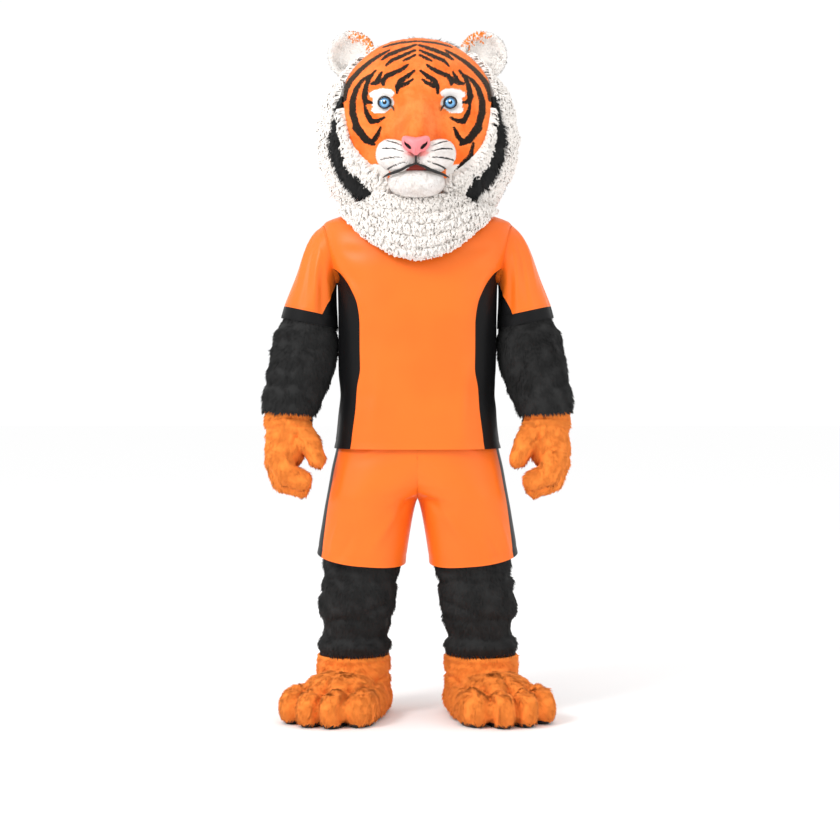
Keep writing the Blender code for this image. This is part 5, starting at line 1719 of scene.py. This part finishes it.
def build_muzzle(looks, cloth, fur):
    """Whisker pads, chin, mouth and lips."""

    def forward(root):
        return root[:, 1] < PAD_BACK

    for side, sign in (("left", 1), ("right", -1)):
        centre = (sign * PAD_RADII[0] + NOSE_SHIFT, MOUTH_CENTRE[1], PAD_HEIGHT)
        points, faces = squircle_ball(centre, PAD_RADII, 2.25, 34, 56)
        x = (points[:, 0] - NOSE_SHIFT) * sign
        up = (points[:, 2] - PAD_HEIGHT) / PAD_RADII[2]
        points[:, 2] += 0.012 * ramp(x, 0.03, 0.10) * (up > -2) - 0.006 * ramp(-x, -0.03, 0.0)
        points[:, 1] += 0.030 * ramp(x, 0.035, 0.11)
        normals = vertex_normals(points, faces)
        marks = muzzle_marks(sign)
        ink, pink = marks(points)
        points = points - normals * (0.0022 * ramp(ink, -1.5, 0.5))[:, None]
        # The pad takes a little of the painted root shade: its pile value sits near the tip.
        values = {
            "ink": ink, "white": pink, "pile": np.full(len(points), 0.75), "tone": np.full(len(points), 0.4)
        }
        pad = add_mesh("whisker_pad_" + side, points, faces, looks["muzzle_fur"], values)
        place(pad, "white_fur", "muzzle_" + side)
        skin = form_skin(points, faces, toward(points, (NOSE_SHIFT, -0.31, 1.575)))
        add_pile(
            fur, "whisker_pad_plush_" + side, skin, "plush", 80 + sign, looks["muzzle_fur"], "white_fur",
            marks=marks, keep=forward,
        )
    points, faces = squircle_ball(CHIN_CENTRE, CHIN_RADII, 2.2, 26, 52)
    fixed = {"ink": NO_INK, "white": 0.0, "pile": 0.8, "tone": 0.5}
    values = {key: np.full(len(points), value) for key, value in fixed.items()}
    chin = add_mesh("chin_pad", points, faces, looks["muzzle_fur"], values)
    place(chin, "white_fur", "chin")
    skin = form_skin(points, faces, toward(points, (0, -0.27, 1.53)) + (0, 0, -0.3))

    def quiet(root):
        return np.full(len(root), NO_INK), np.zeros(len(root))

    add_pile(
        fur, "chin_plush", skin, "plush", 84, looks["muzzle_fur"], "white_fur", marks=quiet, keep=forward,
        grow=1.6,
    )
    points, faces = ball(MOUTH_CENTRE, MOUTH_RADII, 14, 32)
    place(add_mesh("mouth_inside", points, faces, looks["mouth_cloth"]), "mouth_cloth", "mouth_lining")
    lips = []
    for sign in (1, -1):
        lips.append(rope(np.array(LIP_LINE) * (sign, 1, 1) + (NOSE_SHIFT, 0, 0), LIP_RADII))
    lips.append(rope(np.array(LIP_PARTING) + (NOSE_SHIFT, 0, 0), PARTING_RADII))
    place(add_mesh("lip_edges", *joined(lips), looks["black_lip"]), "mouth_cloth")


def rope(line, radii, steps=24, turns=10):
    """A round cord along a bent line, its radius following the line's rows, with a point at each end."""
    rows = np.linspace(0, 1, len(line))
    at = np.linspace(0, 1, steps)
    table = {
        "row": rows, "x": line[:, 0], "y": line[:, 1], "z": line[:, 2], "radius": np.asarray(radii, float)
    }
    centre = np.stack([smooth(table, key, at, "row") for key in ("x", "y", "z")], -1)
    radius = smooth(table, "radius", at, "row")[:, None, None]
    ahead = unit(np.gradient(centre, axis=0))
    across = unit(np.cross(ahead, np.array([0.13, 0.9, 0.3])))
    over = np.cross(ahead, across)
    turn = np.linspace(0, 2 * pi, turns, endpoint=False)[None, :, None]
    grid = centre[:, None] + radius * (across[:, None] * np.cos(turn) + over[:, None] * np.sin(turn))
    return pod(
        grid, centre[0] - ahead[0] * radius[0, 0] * 0.4, centre[-1] + ahead[-1] * radius[-1, 0] * 0.4
    )


NOSE_OUTLINE = {
    "turn": (-180, -150, -120, -90, -60, -30, 0, 30, 60, 90, 120, 150, 180),
    "reach": (0.037, 0.029, 0.023, 0.028, 0.023, 0.029, 0.037, 0.0415, 0.025, 0.0195, 0.025, 0.0415, 0.037),
}


def build_nose(looks, cloth, fur):
    """A rubber nose: rings of its outline shrunk to the middle, front and back, with two nostrils."""
    turn = np.linspace(-pi, pi, 72, endpoint=False)
    reach = smooth(NOSE_OUTLINE, "reach", np.degrees(turn), key="turn")
    share = np.concatenate([np.sin(np.linspace(0.06, pi / 2, 26)), np.linspace(0.985, 0.2, 8)])
    front = np.concatenate([np.ones(26), np.zeros(8)])
    x = share[:, None] * reach * np.cos(turn)
    z = share[:, None] * reach * np.sin(turn)
    dome = NOSE_DOME * (1 - share**2.6)[:, None] * front[:, None]
    y = NOSE_FRONT - dome + np.where(front[:, None] > 0, 0, 0.016) + 0 * x
    y = y - 0.004 * np.exp(-((x / 0.014) ** 2)) * front[:, None]
    up = (z + NOSE_HEIGHT - FACE_HEIGHT) * 1000
    hole = mark_depth(np.abs(x) * 1000, up, (NOSTRIL,))
    y = y + 0.009 * ramp(hole, -2.0, 3.0) * front[:, None]
    y = y + 0.003 * np.exp(-((x / 0.0016) ** 2)) * ramp(-z, 0.004, 0.016) * front[:, None]
    grid = np.stack([x + NOSE_SHIFT, y, z + NOSE_HEIGHT], -1)
    points, faces = pod(grid, grid[0].mean(axis=0), grid[-1].mean(axis=0))
    ink = np.concatenate([hole.ravel(), [NO_INK, NO_INK]])
    ink = np.where(points[:, 1] < -0.28, ink, NO_INK)
    rim = np.concatenate(
        [(ramp(share, 0.90, 0.99)[:, None] * ramp(z, 0.004, 0.012) * 0.6).ravel(), [0.0, 0.0]]
    )
    values = {"ink": ink, "white": rim}
    place(add_mesh("rubber_nose", points, faces, looks["nose_rubber"], values), "pink_nose", "nose")


def disc(centre, radius, deep, rings=8, segments=32):
    """A shallow lens facing forward: rings of the radius times a sine, as deep as its cosine."""
    tip = np.linspace(0, pi, rings * 2 + 1)[1:-1, None]
    turn = np.linspace(0, 2 * pi, segments, endpoint=False)[None]
    grid = np.stack(
        [
            np.sin(tip) * np.cos(turn) * radius,
            -np.cos(tip) * deep + 0 * turn,
            np.sin(tip) * np.sin(turn) * radius,
        ],
        -1,
    )
    centre = np.asarray(centre, float)
    return pod(centre + grid, centre - (0, deep, 0), centre + (0, deep, 0))


def build_eyes(looks, cloth, fur):
    """Each eye: a dark ball, a blue iris, a pupil and a glint, a white disc that is a painted highlight,
    ringed by dark lids with a corner line.
    """
    for side, sign in (("left", 1), ("right", -1)):
        x = sign * EYE_X
        points, faces = ball((x, EYE_FRONT + 0.0155, EYE_HEIGHT), EYE_RADII, 14, 32)
        place(add_mesh("eye_ball_" + side, points, faces, looks["eye_black"]), "eye_plastic", "eye_" + side)
        points, faces = disc((x, EYE_FRONT + 0.004, EYE_HEIGHT - 0.0005), IRIS_RADIUS, 0.0052)
        ring = np.hypot(points[:, 0] - x, points[:, 2] - EYE_HEIGHT + 0.0005) / IRIS_RADIUS
        place(add_mesh("iris_" + side, points, faces, looks["eye_iris"], {"ring": ring}), "eye_plastic")
        points, faces = disc((x, EYE_FRONT - 0.0006, EYE_HEIGHT + 0.0005), PUPIL_RADIUS, 0.0012)
        place(add_mesh("pupil_" + side, points, faces, looks["eye_black"]), "eye_plastic")
        # The glint: a small white disc on the eye, a painted highlight.
        points, faces = disc(
            (x - 0.0012, EYE_FRONT - 0.0018, EYE_HEIGHT + 0.0045), GLINT_RADIUS, 0.0006, 4, 20
        )
        place(add_mesh("glint_" + side, points, faces, looks["eye_glint"]), "eye_plastic")
        turn = np.linspace(0, 2 * pi, 40)
        lid = np.stack(
            [0.0182 * np.cos(turn), -0.0005 + 0.004 * np.abs(np.cos(turn)), 0.0158 * np.sin(turn)], -1
        )
        lid = lid[:-1] + (x, EYE_FRONT - 0.001, EYE_HEIGHT)
        thick = 0.0013 + 0.0012 * np.clip(np.sin(turn[:-1]), 0, 1)
        closed = ring_rope(lid, thick)
        line = [
            (x - sign * 0.016, -0.203, 1.700),
            (x - sign * 0.022, -0.206, 1.692),
            (x - sign * 0.026, -0.212, 1.682),
        ]
        corner = rope(np.array(line), (0.0022, 0.0026, 0.0008))
        place(add_mesh("eyelids_" + side, *joined([closed, corner]), looks["eye_black"]), "eye_plastic")


def ring_rope(line, radius, turns=8):
    """A round cord along a closed line, its radius given at each point."""
    ahead = unit(np.roll(line, -1, axis=0) - np.roll(line, 1, axis=0))
    across = unit(np.cross(ahead, np.array([0.0, 1.0, 0.0])))
    over = np.cross(ahead, across)
    turn = np.linspace(0, 2 * pi, turns, endpoint=False)[None, :, None]
    grid = line[:, None] + radius[:, None, None] * (
        across[:, None] * np.cos(turn) + over[:, None] * np.sin(turn)
    )
    grid = np.concatenate([grid, grid[:1]])
    faces = triangles(grid_faces(*grid.shape[:2], True)) % (len(line) * turns)
    points = grid[:-1].reshape(-1, 3)
    return points, faces[:, ::-1] if volume(points - points.mean(axis=0), faces) < 0 else faces


def combed_down(skin, outward=0.6):
    """Combs a skin's pile down, and outwards from the middle of the head."""
    return skin.combed(
        toward(skin.points, (0, skin.points[:, 1].mean(), 1.66)) * outward + np.array([0, 0, -0.7])
    )


def off_crown(root):
    """Where the front of the hood shows its pile: below the crown or out at the sides."""
    return (root[:, 2] < 1.80) | (np.abs(root[:, 0]) > 0.14)


def build_hood(looks, cloth, fur):
    """The white hood front and back, the cheek strips and the black ruff stripes, with their pile."""
    strip_rows = np.linspace(HEAD_BOTTOM, CHEEK_TOP, 48)
    stripe_rows = np.linspace(HEAD_BOTTOM, RUFF_TOP, 52)
    front_rows = np.concatenate(
        [np.linspace(HEAD_BOTTOM, HEAD_SHOULDER, 44), np.linspace(1.746, HOOD_TOP, 26)]
    )
    low = np.linspace(HEAD_BOTTOM, HEAD_SHOULDER, 36)
    back_rows = np.concatenate([low, HEAD_SHOULDER + HEAD_RISE * np.sin(np.linspace(0.05, pi / 2, 26))])
    for side, sign in (("left", 1), ("right", -1)):
        seed = 90 + sign * 4
        bands = (
            (
                "cheek_fur",
                head_band("face", "strip", puff=0.006),
                np.linspace(0, 1, 9),
                strip_rows,
                "white",
                "cheek_strip",
                0.010,
                "lock",
                0.5,
            ),
            (
                "ruff_fur",
                head_band("strip", "stripe", puff=0.010),
                np.linspace(0, 1, 9),
                stripe_rows,
                "black",
                "ruff_stripe",
                0.012,
                "ruff",
                0.0,
            ),
            (
                "hood_fur",
                head_band("stripe", "outline", puff=0.004),
                np.sin(np.linspace(0, pi / 2, 16)),
                front_rows,
                "white",
                "hood_front",
                0.010,
                "lock",
                0.6,
            ),
            (
                "hood_back_fur",
                head_band(None, "outline", BACK_DEPTH),
                np.sin(np.linspace(0, pi / 2, 26)),
                back_rows,
                "white",
                "hood_back",
                0.010,
                "white",
                0.0,
            ),
        )
        for number, (name, surface, across, rows, colour, node, thickness, kind, curl) in enumerate(bands):
            skin = skin_on(surface, across, rows)
            skin = skin if sign > 0 else skin.mirrored()
            combed_down(skin, 0.2 if "back" in name else 0.6)
            look = looks[colour + "_fur"]
            points, faces = wall_on(skin, thickness)
            made = place(add_mesh(f"{name}_{side}", points, faces, look), colour + "_fur", f"{node}_{side}")
            keep = off_crown if name == "hood_fur" else None
            slot = colour + "_fur"
            add_pile(
                fur, f"{name}_pile_{side}", skin, kind, seed + number, look, slot, keep=keep, curl=curl
            )


def bib_tier(low, high):
    """A rolled fur band across the chest from one hanging curve to the next."""
    rows = np.linspace(0, 1, len(BIB_EDGES["reach"]))

    def surface(across, fall):
        at = low + (high - low) * fall
        values = {key: smooth({"row": rows, key: BIB_EDGES[key]}, key, at, key="row") for key in BIB_EDGES}
        swing = across * pi / 2
        bulge = 0.014 * np.sin(pi * fall)
        x = (values["reach"] + bulge * 0.6) * np.sin(swing)
        z = values["end_height"] - values["drop"] * np.cos(swing) ** 2
        z = z + (BIB_LIFT * (1 - fall) if low < 1 / BIB_TIERS else 0)
        y = values["side_y"] - (values["depth"] + bulge) * np.maximum(np.cos(swing), 1e-9) ** 0.8
        return np.stack([x, y, z], -1)

    return surface


def build_bib(looks, cloth, fur):
    """Five rolled tiers of white fur across the chest, each with hanging curled locks."""
    for number in range(BIB_TIERS):
        surface = bib_tier(number / BIB_TIERS + BIB_GAP, (number + 1) / BIB_TIERS - BIB_GAP)
        skin = skin_on(surface, np.linspace(-1, 1, 84), np.linspace(0, 1, 9))
        points, faces = wall_on(skin, 0.007)
        made = place(
            add_mesh(f"bib_roll_{number + 1}", points, faces, looks["white_fur"]),
            "white_fur",
            f"bib_tier_{number + 1}",
        )
        skin.combed(
            np.tile([0.0, -0.12, -1.0], (len(skin.points), 1)) + toward(skin.points, (0, -0.1, 1.6)) * 0.5
        )
        add_pile(
            fur, f"bib_locks_{number + 1}", skin, "lock", 120 + number, looks["white_fur"], "white_fur",
            curl=0.5, grow=0.62, sag=0.35,
        )


def build_ears(looks, cloth, fur):
    """Cupped round ears with a thick rolled rim, and an orange patch on the upper inner rim."""
    share = np.concatenate([np.linspace(0.08, 1.0, 14), np.linspace(0.97, 0.1, 9)])
    front = np.concatenate([np.ones(14), np.zeros(9)])[:, None]
    turn = np.linspace(0, 2 * pi, 48, endpoint=False)
    ratio = share[:, None]
    roll = 0.010 * np.exp(-(((ratio - 0.84) / 0.14) ** 2))
    y = np.where(front > 0, 0.030 - 0.030 * ratio**2 - roll, 0.044 - 0.036 * ratio**2) + 0 * turn
    x = EAR_X + EAR_REACH * ratio * np.cos(turn)
    z = EAR_HEIGHT + EAR_TALL * ratio * np.sin(turn)
    grid = np.stack([x, y, z], -1)
    points, faces = pod(grid, grid[0].mean(axis=0), grid[-1].mean(axis=0))
    if volume(points - points.mean(axis=0), faces) < 0:
        faces = faces[:, ::-1]
    for side, sign in (("left", 1), ("right", -1)):
        skin = form_skin(points, faces, toward(points, (EAR_X, 0.0, EAR_HEIGHT)))
        skin = skin if sign > 0 else skin.mirrored()
        made = place(
            add_mesh("ear_cup_" + side, skin.points, skin.faces, looks["white_fur"]),
            "white_fur",
            "ear_" + side,
        )

        def patch(root):
            uneven = ripple(root, 0.018, 60 + sign)
            out, up = root[:, 0] * sign - EAR_X, root[:, 2] - EAR_HEIGHT
            angle = np.degrees(np.arctan2(up, out)) + uneven[:, 0] * 14
            away = np.hypot(out, up) + uneven[:, 1] * 0.008
            return (angle > 82) & (angle < 158) & (away > 0.042)

        def plain(root):
            return ~patch(root) & (root[:, 2] > 1.80)

        add_pile(
            fur, "ear_pile_" + side, skin, "ear", 140 + sign, looks["white_fur"], "white_fur", keep=plain
        )
        add_pile(
            fur, "ear_patch_" + side, skin, "ear", 144 + sign, looks["orange_fur"], "orange_fur", keep=patch
        )


# ---- stage ----
def add_light(name, place_at, target, size, energy, colour=(1, 1, 1)):
    """A round area light aimed at a target."""
    data = bpy.data.lights.new(name, "AREA")
    data.shape = "DISK"
    data.size = size
    data.energy = energy
    data.color = colour
    lamp = bpy.data.objects.new(name, data)
    lamp.location = place_at
    lamp.rotation_euler = (Vector(target) - Vector(place_at)).to_track_quat("-Z", "Y").to_euler()
    bpy.context.scene.collection.objects.link(lamp)
    return lamp


def build_stage(stage):
    """A plain pale floor, soft lights, a white surround and the camera."""
    scene = bpy.context.scene
    half = 30.0
    floor = bpy.data.meshes.new("floor")
    corners = [
        (x, y, -SHOULDER_HEIGHT) for x, y in ((-half, -half), (half, -half), (half, half), (-half, half))
    ]
    floor.from_pydata(corners, [], [(0, 1, 2, 3)])
    made, _, shader = new_material("pale_floor", 0.9, 0.0, (1, 1, 1), 0.0)
    shader.inputs["Base Color"].default_value = (0.97, 0.97, 0.97, 1)
    floor.materials.append(made)
    ground = bpy.data.objects.new("floor", floor)
    scene.collection.objects.link(ground)
    world = bpy.data.worlds.new("studio")
    world.use_nodes = True
    sky = world.node_tree.nodes["Background"]
    sky.inputs["Color"].default_value = (1, 1, 1, 1)
    sky.inputs["Strength"].default_value = stage.surround
    scene.world = world
    key = add_light("key", (-3.2, -3.2, 2.6), (0, 0, -0.3), 1.8, 135 * stage.light)
    fill = add_light("fill", (3.6, -3.0, 0.8), (0, 0, -0.4), 2.4, 18 * stage.light)
    top = add_light("top", (0.0, -0.6, 3.6), (0, 0, 0), 2.0, 10 * stage.light)
    camera_data = bpy.data.cameras.new("camera")
    camera_data.lens = stage.lens
    camera_data.sensor_width = 36
    camera = bpy.data.objects.new("camera", camera_data)
    camera.location = (0.0071, -stage.distance, -0.429)
    aim = Vector((0.0071, 0, -0.5653)) - camera.location
    camera.rotation_euler = aim.to_track_quat("-Z", "Y").to_euler()
    scene.collection.objects.link(camera)
    scene.camera = camera
    scene.view_settings.view_transform = "Standard"


# ---- add-on ----
class MascotCloth(bpy.types.PropertyGroup):
    """Settings of the jersey and the shorts."""

    thickness: FloatProperty(
        name="Cloth thickness",
        description="Wall of the jersey cloth",
        default=0.0012,
        min=0.0008,
        max=0.002,
        unit="LENGTH",
    )
    band: FloatProperty(
        name="Band",
        description="How much thicker the sleeve bands are",
        default=0.001,
        min=0.0,
        max=0.003,
        unit="LENGTH",
    )
    folds: FloatProperty(
        name="Folds",
        description="Depth of the shirt's folds, as a share",
        default=1.0,
        min=0.0,
        max=1.5,
        subtype="FACTOR",
    )


class MascotFur(bpy.types.PropertyGroup):
    """Settings of every fur pile."""

    length: FloatProperty(
        name="Length",
        description="Pile length, as a share",
        default=1.0,
        min=0.5,
        max=1.2,
        subtype="FACTOR",
    )
    width: FloatProperty(
        name="Width", description="Tuft width, as a share", default=1.0, min=0.5, max=2.0, subtype="FACTOR"
    )
    density: FloatProperty(
        name="Density",
        description="Tufts for each area, as a share",
        default=1.0,
        min=0.1,
        max=1.2,
        subtype="FACTOR",
    )
    seed: IntProperty(
        name="Seed", description="Another seed gives another scatter of tufts", default=0, min=0
    )


class MascotStage(bpy.types.PropertyGroup):
    """Settings of the camera and the light."""

    lens: FloatProperty(
        name="Lens",
        description="Focal length in millimetres",
        default=84.5,
        min=20.0,
        max=200.0,
        subtype="NONE",
    )
    distance: FloatProperty(
        name="Distance",
        description="Camera distance from the costume",
        default=5.6,
        min=2.0,
        max=12.0,
        unit="LENGTH",
    )
    light: FloatProperty(
        name="Light",
        description="Strength of the lamps, as a share",
        default=1.0,
        min=0.0,
        max=3.0,
        subtype="FACTOR",
    )
    surround: FloatProperty(
        name="Surround",
        description="Strength of the white surround",
        default=1.02,
        min=0.0,
        max=3.0,
        subtype="FACTOR",
    )


def looks_ready():
    """The materials by name; it stops if the materials step hasn't run."""
    looks = {material.name: material for material in bpy.data.materials}
    if "eye_iris" not in looks:
        raise RuntimeError("the materials step has not been run")
    return looks


def run_step(build, context):
    """Runs one builder with the scene settings."""
    scene = context.scene
    build(looks_ready(), scene.mascot_cloth, scene.mascot_fur)
    return {"FINISHED"}


class MASCOT_OT_materials(bpy.types.Operator):
    """Make the fur, cloth, rubber and eye materials"""

    bl_idname = "mascot.materials"
    bl_label = "Materials"

    def execute(self, context):
        make_materials()
        return {"FINISHED"}


class MASCOT_OT_jersey(bpy.types.Operator):
    """Make the jersey with its sleeves, side panels, bands and stitching"""

    bl_idname = "mascot.jersey"
    bl_label = "Jersey"

    def execute(self, context):
        return run_step(build_jersey, context)


class MASCOT_OT_shorts(bpy.types.Operator):
    """Make the shorts with their stripes, waistband and stitching"""

    bl_idname = "mascot.shorts"
    bl_label = "Shorts"

    def execute(self, context):
        return run_step(build_shorts, context)


class MASCOT_OT_suit(bpy.types.Operator):
    """Make the black fur arms and legs"""

    bl_idname = "mascot.suit"
    bl_label = "Fur suit"

    def execute(self, context):
        return run_step(build_suit, context)


class MASCOT_OT_gloves(bpy.types.Operator):
    """Make the fur gloves"""

    bl_idname = "mascot.gloves"
    bl_label = "Gloves"

    def execute(self, context):
        return run_step(build_gloves, context)


class MASCOT_OT_paws(bpy.types.Operator):
    """Make the padded paws and their soles"""

    bl_idname = "mascot.paws"
    bl_label = "Paws"

    def execute(self, context):
        return run_step(build_paws, context)


class MASCOT_OT_face(bpy.types.Operator):
    """Make the painted plush face"""

    bl_idname = "mascot.face"
    bl_label = "Face"

    def execute(self, context):
        return run_step(build_face, context)


class MASCOT_OT_muzzle(bpy.types.Operator):
    """Make the whisker pads, chin, mouth and lips"""

    bl_idname = "mascot.muzzle"
    bl_label = "Muzzle"

    def execute(self, context):
        return run_step(build_muzzle, context)


class MASCOT_OT_nose(bpy.types.Operator):
    """Make the rubber nose"""

    bl_idname = "mascot.nose"
    bl_label = "Nose"

    def execute(self, context):
        return run_step(build_nose, context)


class MASCOT_OT_eyes(bpy.types.Operator):
    """Make the eyes and their lids"""

    bl_idname = "mascot.eyes"
    bl_label = "Eyes"

    def execute(self, context):
        return run_step(build_eyes, context)


class MASCOT_OT_hood(bpy.types.Operator):
    """Make the head fur, cheek strips and ruff stripes"""

    bl_idname = "mascot.hood"
    bl_label = "Hood"

    def execute(self, context):
        return run_step(build_hood, context)


class MASCOT_OT_bib(bpy.types.Operator):
    """Make the five curly tiers of the bib"""

    bl_idname = "mascot.bib"
    bl_label = "Bib"

    def execute(self, context):
        return run_step(build_bib, context)


class MASCOT_OT_ears(bpy.types.Operator):
    """Make the round ears"""

    bl_idname = "mascot.ears"
    bl_label = "Ears"

    def execute(self, context):
        return run_step(build_ears, context)


class MASCOT_OT_stage(bpy.types.Operator):
    """Make the floor, the lamps, the white surround and the camera"""

    bl_idname = "mascot.stage"
    bl_label = "Stage"

    def execute(self, context):
        build_stage(context.scene.mascot_stage)
        return {"FINISHED"}


STEPS = (
    MASCOT_OT_materials,
    MASCOT_OT_jersey,
    MASCOT_OT_shorts,
    MASCOT_OT_suit,
    MASCOT_OT_gloves,
    MASCOT_OT_paws,
    MASCOT_OT_face,
    MASCOT_OT_muzzle,
    MASCOT_OT_nose,
    MASCOT_OT_eyes,
    MASCOT_OT_hood,
    MASCOT_OT_bib,
    MASCOT_OT_ears,
    MASCOT_OT_stage,
)


class MASCOT_PT_panel(bpy.types.Panel):
    """Lists the settings and the steps"""

    bl_label = "Tiger mascot costume"
    bl_idname = "MASCOT_PT_panel"
    bl_space_type = "VIEW_3D"
    bl_region_type = "UI"
    bl_category = "Mascot"

    def draw(self, context):
        layout = self.layout
        for group in (context.scene.mascot_cloth, context.scene.mascot_fur, context.scene.mascot_stage):
            box = layout.box()
            for name in group.bl_rna.properties.keys():
                if name not in ("rna_type", "name"):
                    box.prop(group, name)
        for step in STEPS:
            layout.operator(step.bl_idname)


CLASSES = (MascotCloth, MascotFur, MascotStage, *STEPS, MASCOT_PT_panel)


def register():
    """Registers the classes and hangs the settings on the scene."""
    for each in CLASSES:
        bpy.utils.register_class(each)
    bpy.types.Scene.mascot_cloth = PointerProperty(type=MascotCloth)
    bpy.types.Scene.mascot_fur = PointerProperty(type=MascotFur)
    bpy.types.Scene.mascot_stage = PointerProperty(type=MascotStage)


def unregister():
    """Takes the settings and the classes away again."""
    del bpy.types.Scene.mascot_cloth, bpy.types.Scene.mascot_fur, bpy.types.Scene.mascot_stage
    for each in reversed(CLASSES):
        bpy.utils.unregister_class(each)


def main():
    """Runs every step in order."""
    register()
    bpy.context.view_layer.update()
    for step in STEPS:
        group, name = step.bl_idname.split(".")
        if getattr(getattr(bpy.ops, group), name)() != {"FINISHED"}:
            raise RuntimeError(step.bl_label + " did not finish")
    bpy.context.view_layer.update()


if __name__ == "__main__":
    main()
